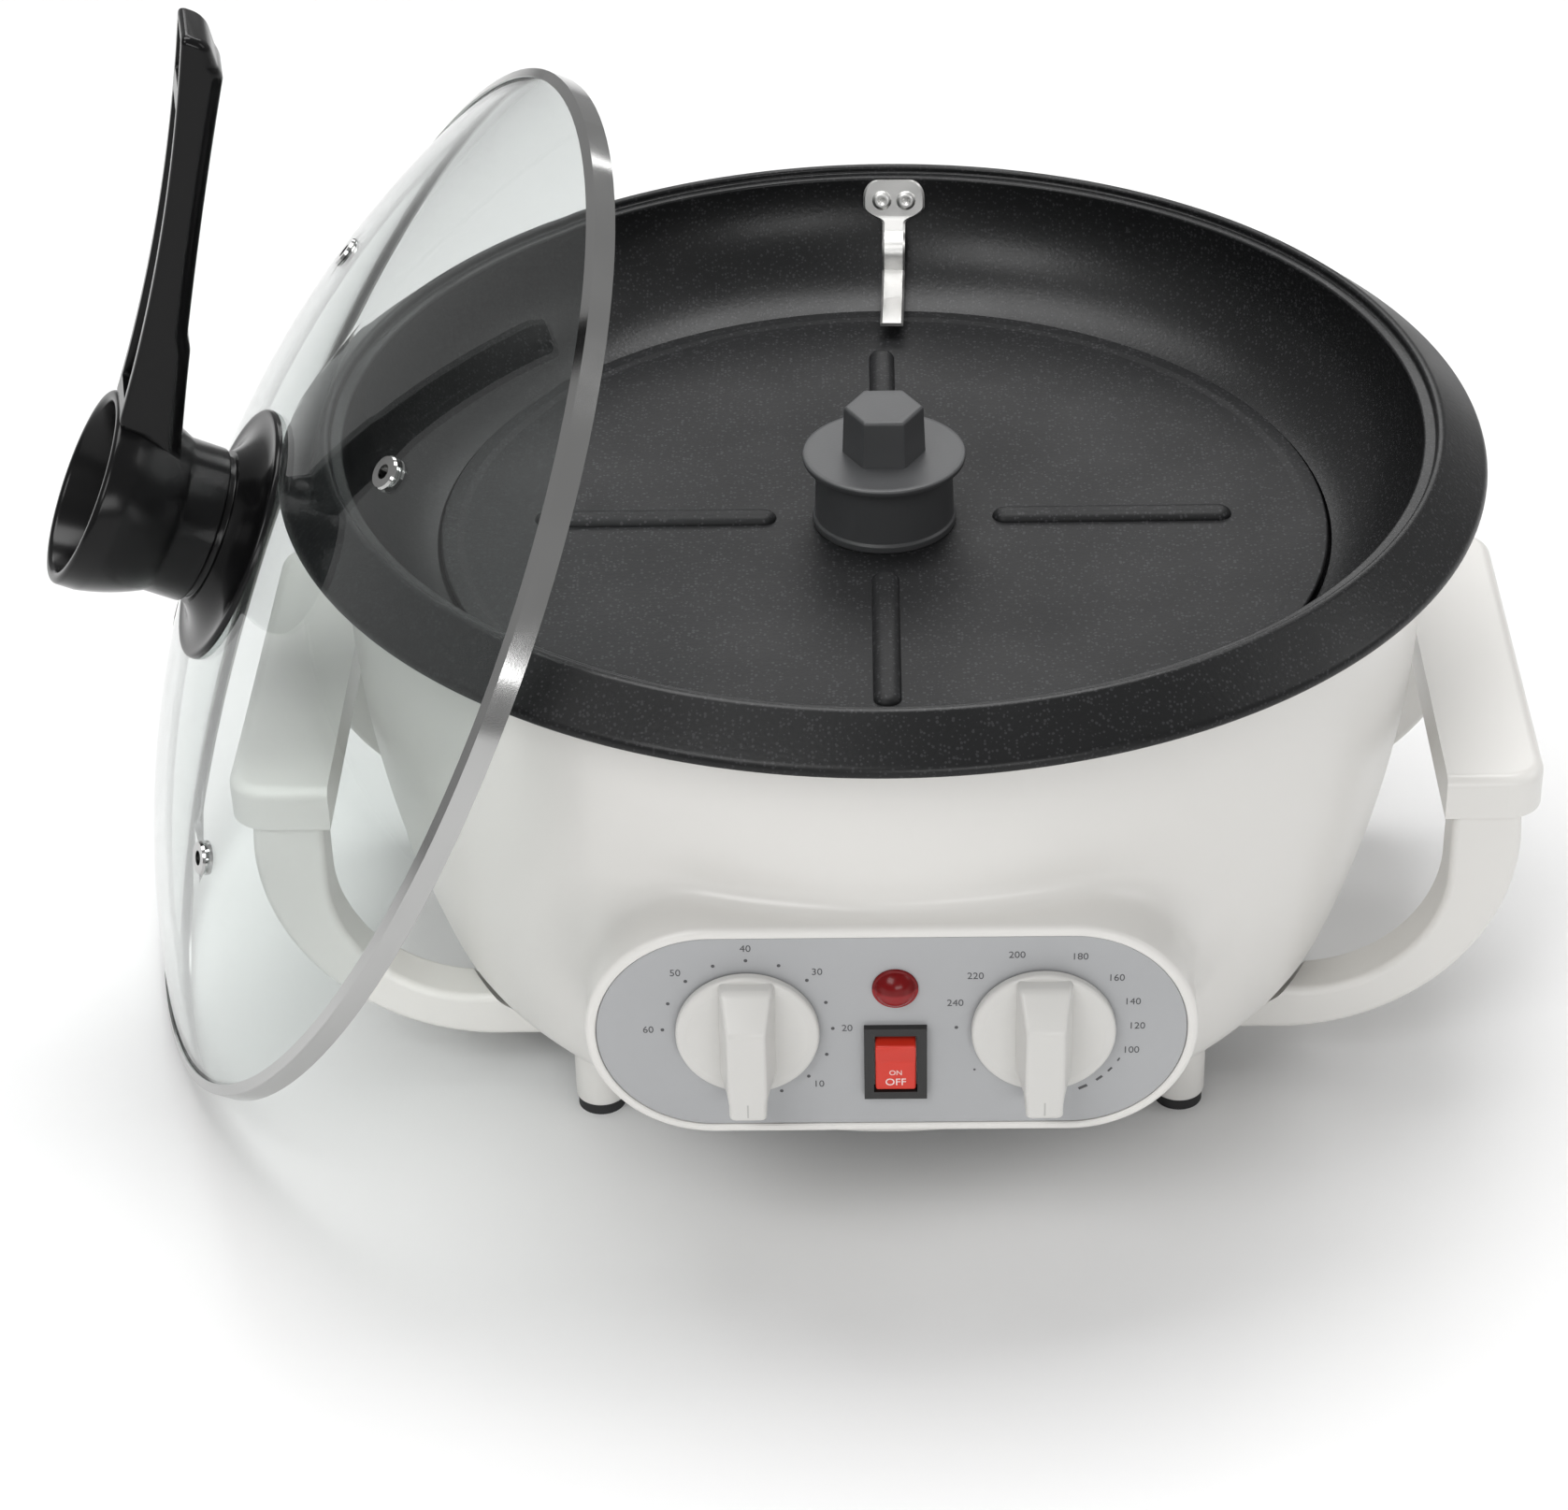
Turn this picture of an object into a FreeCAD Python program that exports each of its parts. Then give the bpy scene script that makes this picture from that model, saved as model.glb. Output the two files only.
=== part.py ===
import FreeCAD, Part
import math
import os
import re
import Sketcher
from FreeCAD import Placement, Rotation, Vector

# Home coffee bean roaster: a plastic bowl on four feet carries a non-stick roasting pan. A geared
# motor under the pan turns a disc in it, past a fixed scraper strip. The glass lid lifts off, and
# here it stands on the table, leaning on the pan's flange.
#
# Frame: the origin is on the table below the middle of the pan, X to the right, Y to the back,
# Z up, in millimetres. The controls face -Y.

SIZES = {
    # Roasting pan: a pressed dish with a seat for the lid and a sloping flange
    "mouth_radius": 140,
    "rim_height": 170,
    "pan_sheet": 1.9,
    "seat_depth": 2,
    "seat_width": 3.2,
    "lip_land": 1.8,
    "lip_round": 2.5,
    "flange_reach": 13.3,
    "flange_drop": 9.1,
    "flange_hem": 2.4,
    "wall_round": 33.2,
    "wall_top_drop": 3,
    "wall_foot_reach": 11.9,
    "step_drop": 3,
    "floor_round": 1.5,
    # Housing: a thin bowl with a flat bottom
    "pan_clearance": 0.3,
    "housing_wall": 2.5,
    "bottom_height": 23,
    "bowl_foot_rise": 6.5,
    "bowl_taper": 21.1,
    "bowl_corner_reach": 9.2,
    "bowl_corner_radius": 10,
    "bowl_side_radius": 293,
    "shoulder_height": 116,
    "shoulder_inset": 2.9,
    "service_radius": 85,
    # Control boss on the front of the bowl
    "boss_half_length": 73.1,
    "boss_half_height": 30.4,
    "boss_height": 81,
    "boss_reach": 4.5,
    "boss_depth": 50,
    "boss_blend": 5,
    "boss_edge_round": 1.6,
    "fascia_border": 2.6,
    "fascia_sheet": 1.2,
    "fascia_recess": 0.5,
    "fascia_gap": 0.2,
    # Legs and rubber feet
    "leg_setback": 8.6,
    "leg_bearing": 42.2,
    "leg_radius": 6.7,
    "foot_height": 3,
    "foot_radius": 6.2,
    "foot_stem_radius": 2,
    "foot_stem_length": 6,
    # Base cover
    "cover_overlap": 9,
    "cover_sheet": 1.5,
    "cover_slot_width": 4,
    "cover_slot_length": 22,
    "cover_slot_place": 58,
    "cover_slots": 12,
    # Handles
    "grip_gap": 2.9,
    "grip_width": 25.5,
    "grip_half_length": 62,
    "grip_bottom": 83,
    "grip_thickness": 12,
    "grip_corner": 10,
    "grip_edge_round": 3,
    "arm_width": 14,
    "arm_setback": 1,
    "arm_inner_inset": 2.3,
    "arm_bend_height": 65,
    "arm_inner_round": 36,
    "arm_inner_foot_inset": 6.2,
    "arm_inner_level": 28.5,
    "arm_outer_inset": 6,
    "arm_outer_round": 59,
    "arm_outer_foot_inset": 11.2,
    "arm_outer_level": 15.6,
    "arm_edge_round": 2,
    "arm_lap": 1,
    "arm_tab_margin": 6,
    "arm_clearance": 0.25,
    "arm_screw_inset": 21.2,
    # Screws
    "screw_radius": 1.5,
    "screw_head_radius": 3,
    "screw_head_height": 1.8,
    "screw_length": 8,
    "hole_clearance": 0.2,
    "counterbore_depth": 3,
    # Turntable, its hub and the drive
    "disc_edge_gap": 1,
    "disc_sheet": 1.5,
    "disc_rib_height": 1.6,
    "disc_rib_length": 62,
    "disc_rib_start": 10,
    "disc_rib_round": 1.4,
    "disc_rib_width": 7,
    "disc_ribs": 4,
    "column_radius": 18,
    "column_neck_radius": 17,
    "column_height": 17.5,
    "hub_disc_radius": 20,
    "hub_disc_thickness": 2,
    "nut_radius": 10.8,
    "nut_height": 13,
    "nut_foot_radius": 11.3,
    "nut_top_radius": 10.3,
    "nut_bore_depth": 7,
    "shaft_radius": 4,
    "shaft_clearance": 0.05,
    "bush_radius": 9,
    "bush_flange_radius": 13,
    "bush_flange_thickness": 1.4,
    "bush_tail": 5,
    "bush_nut_across": 24,
    "coupling_radius": 7.5,
    "coupling_length": 16,
    "coupling_lift": 2.5,
    "motor_shaft_radius": 3.5,
    "motor_shaft_depth": 8,
    # Heater and what hangs under the pan
    "element_ring_radius": 85,
    "element_tube_radius": 3.5,
    "element_arc": 330,
    "element_leg_length": 22,
    "element_hole_gap": 1,
    "stud_place": 100,
    "stud_radius": 2.5,
    "stud_shoulder_radius": 4.5,
    "stud_length": 19,
    "strap_sheet": 1.2,
    "strap_width": 12,
    "strap_count": 4,
    "strap_inner_end": 78,
    "strap_outer_end": 108,
    "nut_across": 8,
    "nut_thickness": 3.2,
    "shield_radius": 118,
    "shield_sheet": 0.8,
    "shield_rim": 7,
    "shield_centre_hole": 11,
    "bracket_sheet": 1.5,
    "bracket_width": 46,
    "bracket_half_length": 110,
    "bracket_foot_start": 88,
    "bracket_deck_half": 40,
    "bracket_drop": 19,
    "deck_hole_radius": 6,
    # Geared motor
    "motor_radius": 30,
    "gearbox_length": 22,
    "motor_can_radius": 26,
    "motor_can_length": 26,
    "motor_screw_place": 21,
    # Scraper strip, riveted to the pan's wall
    "strip_offset": 4.2,
    "strip_sheet": 1,
    "strip_width": 7,
    "strip_head_width": 17.8,
    "strip_head_top": 2.5,
    "strip_head_height": 11.6,
    "strip_wall_gap": 0.1,
    "strip_shelf_reach": 8,
    "strip_shelf_drop": 5,
    "strip_leg_reach": 4,
    "strip_toe_gap": 1,
    "strip_toe_reach": 8,
    "rivet_spacing": 7.4,
    "rivet_head_radius": 2.6,
    "rivet_head_height": 1,
    "rivet_radius": 1.5,
    "rivet_reach": 0.8,
    "strip_head_round": 4.5,
    # Controls
    "controls_shift": 1,
    "knob_half_spacing": 35.2,
    "knob_raise": 1,
    "knob_radius": 17.15,
    "knob_skirt": 2.8,
    "knob_gap": 0.7,
    "knob_skirt_round": 1,
    "bar_height": 10,
    "bar_top_reach": 16,
    "bar_pointer_reach": 17.6,
    "bar_top_width": 12.4,
    "bar_pointer_width": 8.4,
    "bar_round": 1.5,
    "spindle_radius": 3,
    "spindle_clearance": 0.05,
    "spindle_in_knob": 7,
    "spindle_in_body": 12,
    "neck_radius": 4.8,
    "timer_radius": 24,
    "timer_depth": 26,
    "thermostat_radius": 17,
    "thermostat_depth": 15,
    "lamp_raise": 12.9,
    "lamp_radius": 5.5,
    "lamp_dome": 3,
    "lamp_barrel_radius": 4,
    "lamp_barrel_length": 12,
    "lamp_flange": 0.8,
    "lamp_ring_radius": 6.5,
    "lamp_ring_height": 3,
    "switch_drop": 8.6,
    "bezel_width": 15,
    "bezel_height": 21,
    "bezel_thickness": 1.8,
    "switch_body_width": 12.6,
    "switch_body_height": 18.6,
    "switch_body_depth": 18,
    "rocker_width": 9.7,
    "rocker_half_height": 7.4,
    "rocker_height": 5.6,
    "rocker_dip": 1.1,
    "rocker_tilt": 8,
    "rocker_side_gap": 0.35,
    "rocker_end_gap": 0.3,
    "pivot_depth": 4.8,
    # Mains inlet bush and terminal block
    "inlet_height": 60,
    "inlet_radius": 5.5,
    "inlet_bore": 3.5,
    "inlet_flange_radius": 8,
    "inlet_flange_thickness": 2,
    "inlet_mouth_land": 2,
    "inlet_gap": 0.5,
    "block_width": 30,
    "block_depth": 16,
    "block_height": 14,
    "block_place": 96,
    # Lid: domed glass in a steel band
    "lid_radius": 139,
    "lid_height": 44,
    "band_height": 5,
    "band_sheet": 0.7,
    "band_grip": 2.6,
    "glass_thickness": 3.2,
    "glass_gap": 0.12,
    "vent_place": 84,
    "vent_flange_radius": 4.4,
    "vent_barrel_radius": 2.9,
    "vent_bore": 1.9,
    "vent_flange": 0.7,
    "lid_hole_radius": 4,
    # Lid handle: a hollow cup on a flared foot, with a long curved arm
    "handle_foot_radius": 33.5,
    "handle_foot_edge": 1.2,
    "handle_neck_radius": 20.5,
    "handle_flare_height": 5.5,
    "handle_flare_round": 12,
    "handle_groove_depth": 1.6,
    "handle_groove_width": 2,
    "handle_neck_top": 60,
    "cup_radius": 25.8,
    "cup_height": 83,
    "cup_wall": 3,
    "cup_floor": 66,
    "cup_flare_height": 17,
    "cup_flare_round": 60,
    "cup_draft": 3.5,
    "arm_blade_width": 20,
    "arm_root": 20,
    "arm_root_inner": 65,
    "arm_root_outer": 82,
    "arm_tip": 131,
    "arm_tip_inner": 92.2,
    "arm_tip_outer": 106.4,
    "arm_tip_bend": 117,
    "arm_tip_round": 14,
    "arm_spoon_length": 24,
    "arm_channel_inset": 3,
    "blade_round": 2.5,
    "arm_curve": 480,
    "arm_channel_floor": 5,
    "arm_channel_wall": 3.5,
    "scoop_length": 20,
    "scoop_floor": 97,
    "scoop_step": 4,
    "scoop_round": 34,
    "lid_screw_radius": 2.5,
    "lid_screw_length": 20,
    "lid_screw_head_radius": 5,
    "lid_screw_head_height": 3,
    "washer_radius": 13,
    "washer_thickness": 1.2,
    # How the lid stands: its lean from upright, its turn, and where it touches the flange
    "lid_lean": 27.29,
    "lid_turn": 10.22,
    "lid_touch_bearing": 203.2,
    "lid_table_gap": 0.2,
    "lid_flange_gap": 0.6,
}

doc = FreeCAD.newDocument("coffee_roaster")
dims = doc.addObject("Spreadsheet::Sheet", "dims")
for row, (alias, number) in enumerate(SIZES.items(), start=1):
    dims.set("A%d" % row, alias)
    dims.set("B%d" % row, str(number))
    dims.setAlias("B%d" % row, alias)
doc.recompute()

# Places that several pieces share, as expressions of the sizes above
SEAT_RADIUS = "(mouth_radius - seat_width)"
ROUND_CENTRE = f"({SEAT_RADIUS} - wall_round)"
ROUND_HEIGHT = "(rim_height - wall_top_drop)"
STEP_RADIUS = f"({ROUND_CENTRE} + wall_foot_reach)"
STEP_HEIGHT = f"({ROUND_HEIGHT} - sqrt(wall_round^2 - wall_foot_reach^2))"
PAN_FLOOR = f"({STEP_HEIGHT} - step_drop)"
PAN_UNDERSIDE = f"({PAN_FLOOR} - pan_sheet)"
SHELF_HEIGHT = "(rim_height - seat_depth - pan_sheet)"
FLANGE_RADIUS = "(mouth_radius + flange_reach)"
BOWL_TOP = f"({SEAT_RADIUS} + pan_sheet + pan_clearance + housing_wall)"
BOWL_SHOULDER = f"({BOWL_TOP} - shoulder_inset)"
BOWL_FOOT = f"({BOWL_TOP} - bowl_taper)"
BOWL_FOOT_HEIGHT = "(bottom_height + bowl_foot_rise)"
BOWL_FLAT = f"({BOWL_FOOT} - bowl_corner_reach)"
BOSS_FRONT = f"({BOWL_TOP} + boss_reach)"
FASCIA_FRONT = f"({BOSS_FRONT} - fascia_recess)"
FASCIA_BACK = f"({FASCIA_FRONT} - fascia_sheet)"
BOSS_INSIDE = f"({FASCIA_BACK} - housing_wall)"
KNOB_HEIGHT = "(boss_height + knob_raise)"
LAMP_HEIGHT = "(boss_height + lamp_raise)"
SWITCH_HEIGHT = "(boss_height - switch_drop)"
DISC_TOP = f"({STEP_HEIGHT} + disc_sheet)"
COLUMN_TOP = f"({DISC_TOP} + column_height)"
HUB_TOP = f"({COLUMN_TOP} + hub_disc_thickness)"
ELEMENT_HEIGHT = f"({PAN_UNDERSIDE} - element_tube_radius)"
STRAP_TOP = f"({PAN_UNDERSIDE} - 2 * element_tube_radius)"
SHIELD_TOP = f"({STRAP_TOP} - strap_sheet - nut_thickness)"
SHIELD_UNDER = f"({SHIELD_TOP} - shield_sheet)"
DECK_TOP = f"({SHIELD_UNDER} - bracket_drop)"
DECK_UNDER = f"({DECK_TOP} - bracket_sheet)"
COUPLING_FOOT = f"({DECK_TOP} + coupling_lift)"
LEG_X = f"(({BOWL_FLAT} - leg_setback) * cos(leg_bearing * 1 deg))"
LEG_Y = f"(({BOWL_FLAT} - leg_setback) * sin(leg_bearing * 1 deg))"
COVER_RADIUS = "(service_radius + cover_overlap)"
COVER_SCREW_SPOT = "((service_radius + cover_overlap / 2) * sqrt(0.5))"
ARM_FACE = "(grip_half_length - arm_setback)"
ARM_SCREW_X = f"({BOWL_FLAT} - arm_screw_inset)"
ARM_SCREW_Y = f"({ARM_FACE} - arm_width / 2)"
GRIP_INNER = f"({BOWL_SHOULDER} + grip_gap)"
GRIP_OUTER = f"({GRIP_INNER} + grip_width)"
ARM_INNER_FACE = f"({GRIP_INNER} + arm_inner_inset)"
ARM_OUTER_FACE = f"({GRIP_OUTER} - arm_outer_inset)"
GLASS_RADIUS = "(lid_radius - band_sheet - glass_gap)"
DOME = "(lid_height - band_height)"
GLASS_ROUND = f"(({GLASS_RADIUS}^2 + {DOME}^2) / (2 * {DOME}))"


def named(text):
    """The expression with each size's name turned into its cell of the sheet."""
    return re.sub(r"[a-z_]+", lambda word: "dims." * (word[0] in SIZES) + word[0], str(text))


def value(text):
    """The number that an expression of the sizes gives."""
    return float(dims.evalExpression(named(text)))


def bind(thing, **sizes):
    for prop, text in sizes.items():
        thing.setExpression(prop, named(text))
    return thing


def place(thing, across="0", back="0", up="0"):
    for axis, text in (("x", across), ("y", back), ("z", up)):
        thing.setExpression(".Placement.Base." + axis, named(text))
    return thing


# Edges are picked by where they lie: within NEAR of a place, or more than APART beyond it
NEAR = 0.001
APART = 1

finished = []


def node(thing, label):
    """Names a finished sub-part, which is then written to its own file."""
    thing.Label = label
    finished.append(thing)
    return thing


def new_body(name):
    return doc.addObject("PartDesign::Body", name)


def sketch_on(body, plane, offset="0"):
    """A sketch on one of the body's own planes, moved along the plane's normal."""
    sketch = body.newObject("Sketcher::SketchObject", body.Name + "_sketch")
    support = [datum for datum in body.Origin.OriginFeatures if datum.Role == plane]
    sketch.AttachmentSupport = (support[0], "")
    sketch.MapMode = "FlatFace"
    sketch.setExpression(".AttachmentOffset.Base.z", named(offset))
    return sketch


def dimension(sketch, kind, where, text):
    """A dimension from the sketch's origin to a point, or a radius, tied to an expression."""
    if text == "0":
        axis = {"DistanceX": -2, "DistanceY": -1}[kind]
        return sketch.addConstraint(Sketcher.Constraint("PointOnObject", *where, axis))
    start = () if kind == "Radius" else (-1, 1)
    index = sketch.addConstraint(Sketcher.Constraint(kind, *start, *where, value(text)))
    sketch.setExpression("Constraints[%d]" % index, named(text))
    return index


def arc_between(start, end, radius):
    """The shorter arc from start to end, which turns left if the radius is positive."""
    chord = end - start
    left = Vector(-chord.y, chord.x, 0).normalize() * math.copysign(1, radius)
    rise = math.sqrt(radius ** 2 - (chord.Length / 2) ** 2)
    centre = (start + end) / 2 + left * rise
    first, last = (start, end) if radius > 0 else (end, start)
    angles = [math.atan2(point.y - centre.y, point.x - centre.x) for point in (first, last)]
    return Part.ArcOfCircle(Part.Circle(centre, Vector(0, 0, 1), abs(radius)), *angles)


def outline(sketch, path):
    """A closed outline through the corners of path. A corner's third entry is the radius of the
    arc that arrives there, negative if the arc turns right."""
    corners = [Vector(value(corner[0]), value(corner[1]), 0) for corner in path]
    edges = []
    for index, corner in enumerate(path):
        start, end = corners[index - 1], corners[index]
        if len(corner) == 2:
            edges.append((sketch.addGeometry(Part.LineSegment(start, end)), 1, 2))
            continue
        radius = value(corner[2])
        arc = sketch.addGeometry(arc_between(start, end, radius))
        edges.append((arc, 1, 2) if radius > 0 else (arc, 2, 1))
    for index, (edge, first, last) in enumerate(edges):
        before = edges[index - 1]
        sketch.addConstraint(Sketcher.Constraint("Coincident", before[0], before[2], edge, first))
        dimension(sketch, "DistanceX", (edge, last), path[index][0])
        dimension(sketch, "DistanceY", (edge, last), path[index][1])
        if len(path[index]) == 3:
            dimension(sketch, "Radius", (edge,), path[index][2].lstrip("-"))


def circle(sketch, across, up, radius):
    centre = Vector(value(across), value(up), 0)
    ring = sketch.addGeometry(Part.Circle(centre, Vector(0, 0, 1), value(radius)))
    dimension(sketch, "DistanceX", (ring, 3), across)
    dimension(sketch, "DistanceY", (ring, 3), up)
    dimension(sketch, "Radius", (ring,), radius)


def obround(sketch, half_length, half_height, up):
    """A slot shape with fully round ends, centred on the sketch's vertical axis."""
    reach, radius, level = value(half_length), value(half_height), value(up)
    ends = []
    for side in (1, -1):
        middle = Vector(side * (reach - radius), level, 0)
        turn = math.pi / 2 if side < 0 else -math.pi / 2
        round_end = Part.Circle(middle, Vector(0, 0, 1), radius)
        ends.append(sketch.addGeometry(Part.ArcOfCircle(round_end, turn, turn + math.pi)))
    flats = []
    for side in (1, -1):
        start = Vector(side * (reach - radius), level + side * radius, 0)
        end = Vector(-side * (reach - radius), level + side * radius, 0)
        flats.append(sketch.addGeometry(Part.LineSegment(start, end)))
    for index in (0, 1):
        sketch.addConstraint(Sketcher.Constraint("Tangent", ends[index], 2, flats[index], 1))
        sketch.addConstraint(Sketcher.Constraint("Tangent", flats[index], 2, ends[index - 1], 1))
    sketch.addConstraint(Sketcher.Constraint("Equal", ends[0], ends[1]))
    dimension(sketch, "Radius", (ends[0],), half_height)
    for side, end in zip(("", "-"), ends):
        dimension(sketch, "DistanceX", (end, 3), f"{side}({half_length} - {half_height})")
        dimension(sketch, "DistanceY", (end, 3), up)


def rectangle(sketch, half_width, half_height, across="0", up="0"):
    left, right = f"{across} - {half_width}", f"{across} + {half_width}"
    low, high = f"{up} - {half_height}", f"{up} + {half_height}"
    outline(sketch, [(left, low), (right, low), (right, high), (left, high)])


def revolved(body, path, cut=False):
    """Turns an outline of radius and height about the body's Z axis, to add or to cut."""
    sketch = sketch_on(body, "XZ_Plane")
    outline(sketch, path)
    kind = "PartDesign::Groove" if cut else "PartDesign::Revolution"
    feature = body.newObject(kind, body.Name + "_turned")
    feature.Profile = sketch
    feature.ReferenceAxis = (sketch, ["V_Axis"])
    return feature


def padded(body, sketch, length, cut=False, back=False):
    """Pads or pockets a sketch along its normal, or against it where back is set."""
    kind = "PartDesign::Pocket" if cut else "PartDesign::Pad"
    feature = body.newObject(kind, body.Name + "_run")
    feature.Profile = sketch
    feature.Reversed = back != cut
    return bind(feature, Length=length)


def rounded(body, radius, wanted):
    """Fillets the edges of the body so far that the test picks out."""
    doc.recompute()
    base = body.Tip
    edges = ["Edge%d" % count for count, edge in enumerate(base.Shape.Edges, 1) if wanted(edge)]
    feature = body.newObject("PartDesign::Fillet", body.Name + "_round")
    feature.Base = (base, edges)
    return bind(feature, Radius=radius)


def on_ring(radius, height):
    """Picks circular edges about the Z axis by their radius and height."""
    def wanted(edge):
        if not isinstance(edge.Curve, Part.Circle):
            return False
        off = abs(edge.Curve.Center.z - value(height)) + abs(edge.Curve.Radius - value(radius))
        return off < NEAR
    return wanted


def cylinder(name, radius, height, across="0", back="0", up="0"):
    rod = bind(doc.addObject("Part::Cylinder", name), Radius=radius, Height=height)
    return place(rod, across, back, up)


def merged(name, pieces):
    fusion = doc.addObject("Part::MultiFuse", name)
    fusion.Shapes = pieces
    return fusion


def grouped(name, pieces):
    group = doc.addObject("Part::Compound", name)
    group.Links = pieces
    return group


def cut_from(name, base, tool):
    cut = doc.addObject("Part::Cut", name)
    cut.Base = base
    cut.Tool = tool
    return cut


# ---- Roasting pan: pressed sheet, with the lid's seat inside its lip ----
FLANGE_RUN = "(flange_reach - lip_land)"
FLANGE_THICK = f"(pan_sheet * sqrt(1 + (flange_drop / {FLANGE_RUN})^2))"
HEM_TOP = f"(rim_height - flange_drop + pan_sheet * flange_drop / {FLANGE_RUN} - {FLANGE_THICK})"
SHELF_EDGE = (f"(mouth_radius + lip_land"
              f" + (seat_depth + pan_sheet - {FLANGE_THICK}) * {FLANGE_RUN} / flange_drop)")
OUTER_ROUND = "(wall_round + pan_sheet)"
WALL_AT_SHELF = f"({ROUND_CENTRE} + sqrt({OUTER_ROUND}^2 - ({SHELF_HEIGHT} - {ROUND_HEIGHT})^2))"
STEP_UNDER = f"({ROUND_HEIGHT} - sqrt({OUTER_ROUND}^2 - (wall_foot_reach + pan_sheet)^2))"
HEM_BOTTOM = "(rim_height - flange_drop - flange_hem)"

pressing = new_body("pan_pressing")
revolved(pressing, [
    ("bush_radius", PAN_UNDERSIDE),
    (f"{STEP_RADIUS} + pan_sheet", PAN_UNDERSIDE),
    (f"{STEP_RADIUS} + pan_sheet", STEP_UNDER),
    (WALL_AT_SHELF, SHELF_HEIGHT, OUTER_ROUND),
    (SHELF_EDGE, SHELF_HEIGHT),
    (f"{FLANGE_RADIUS} - pan_sheet", HEM_TOP),
    (f"{FLANGE_RADIUS} - pan_sheet", HEM_BOTTOM),
    (FLANGE_RADIUS, HEM_BOTTOM),
    (FLANGE_RADIUS, "rim_height - flange_drop"),
    ("mouth_radius + lip_land", "rim_height"),
    ("mouth_radius", "rim_height"),
    ("mouth_radius", "rim_height - seat_depth"),
    (SEAT_RADIUS, "rim_height - seat_depth"),
    (SEAT_RADIUS, ROUND_HEIGHT),
    (STEP_RADIUS, STEP_HEIGHT, "-wall_round"),
    (STEP_RADIUS, PAN_FLOOR),
    ("bush_radius", PAN_FLOOR),
])
rounded(pressing, "lip_round", on_ring("mouth_radius + lip_land", "rim_height"))
rounded(pressing, "lip_round", on_ring(FLANGE_RADIUS, "rim_height - flange_drop"))
rounded(pressing, "floor_round", on_ring(STEP_RADIUS, PAN_FLOOR))


# ---- Housing: one moulded bowl with the control boss and four legs ----
def bowl_outline(gap="0"):
    """The bowl's outside, as radius and height. A gap widens it to cut what lies against it."""
    return [
        (f"{BOWL_FLAT} + {gap}", "bottom_height"),
        (f"{BOWL_FOOT} + {gap}", BOWL_FOOT_HEIGHT, "bowl_corner_radius"),
        (f"{BOWL_SHOULDER} + {gap}", "shoulder_height", "bowl_side_radius"),
        (f"{BOWL_TOP} + {gap}", SHELF_HEIGHT),
        ("0", SHELF_HEIGHT),
        ("0", "bottom_height"),
    ]


def boss_seam(edge):
    """Picks the edge where the control boss meets the bowl."""
    box = edge.BoundBox
    behind = box.YMin > -value(BOSS_FRONT) + APART and box.YMax < -value("boss_half_length")
    level = abs(box.Center.z - value("boss_height")) < value("boss_half_height") + APART
    return behind and level and not isinstance(edge.Curve, (Part.Line, Part.LineSegment))


def boss_rim(edge):
    """Picks the front edge of the control boss."""
    return abs(edge.BoundBox.YMax + value(BOSS_FRONT)) < NEAR


LEG_PLACES = [(side, end) for side in ("", "-") for end in ("", "-")]

shell = new_body("housing_shell")
revolved(shell, bowl_outline())
front = sketch_on(shell, "XZ_Plane", BOSS_FRONT)
obround(front, "boss_half_length", "boss_half_height", "boss_height")
padded(shell, front, "boss_depth", back=True)
rounded(shell, "boss_blend", boss_seam)
rounded(shell, "boss_edge_round", boss_rim)
revolved(shell, [
    (BOWL_FLAT, "bottom_height + housing_wall"),
    (f"{BOWL_FOOT} - housing_wall", f"{BOWL_FOOT_HEIGHT} + housing_wall / 2",
     "(bowl_corner_radius - housing_wall)"),
    (f"{BOWL_SHOULDER} - housing_wall", "shoulder_height", "(bowl_side_radius - housing_wall)"),
    (f"{BOWL_TOP} - housing_wall", SHELF_HEIGHT),
    (f"{BOWL_TOP} - housing_wall", f"{SHELF_HEIGHT} + pan_sheet"),
    ("0", f"{SHELF_HEIGHT} + pan_sheet"),
    ("0", "bottom_height + housing_wall"),
], cut=True)

hollow = sketch_on(shell, "XZ_Plane", BOSS_INSIDE)
obround(hollow, "(boss_half_length - housing_wall)", "(boss_half_height - housing_wall)", "boss_height")
padded(shell, hollow, "boss_depth", cut=True, back=True)

recess = sketch_on(shell, "XZ_Plane", BOSS_FRONT)
obround(recess, "(boss_half_length - fascia_border)", "(boss_half_height - fascia_border)",
        "boss_height")
padded(shell, recess, "fascia_recess + fascia_sheet", cut=True, back=True)


def control_holes(sketch, gap):
    """The holes behind the controls: two for the spindles' necks, one lamp and one switch."""
    for side in ("+", "-"):
        circle(sketch, f"controls_shift {side} knob_half_spacing", KNOB_HEIGHT, f"neck_radius + {gap}")
    circle(sketch, "controls_shift", LAMP_HEIGHT, f"lamp_barrel_radius + {gap}")
    rectangle(sketch, f"(switch_body_width / 2 + {gap})", f"(switch_body_height / 2 + {gap})",
              "controls_shift", SWITCH_HEIGHT)


holes = sketch_on(shell, "XZ_Plane", FASCIA_BACK)
control_holes(holes, "hole_clearance")
padded(shell, holes, "2 * housing_wall", cut=True, back=True)

legs = sketch_on(shell, "XY_Plane", "foot_height")
stems = sketch_on(shell, "XY_Plane", "foot_height")
for side, end in LEG_PLACES:
    circle(legs, side + LEG_X, end + LEG_Y, "leg_radius")
    circle(stems, side + LEG_X, end + LEG_Y, "foot_stem_radius")
padded(shell, legs, "bottom_height - foot_height")
padded(shell, stems, "foot_stem_length", cut=True)

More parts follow.
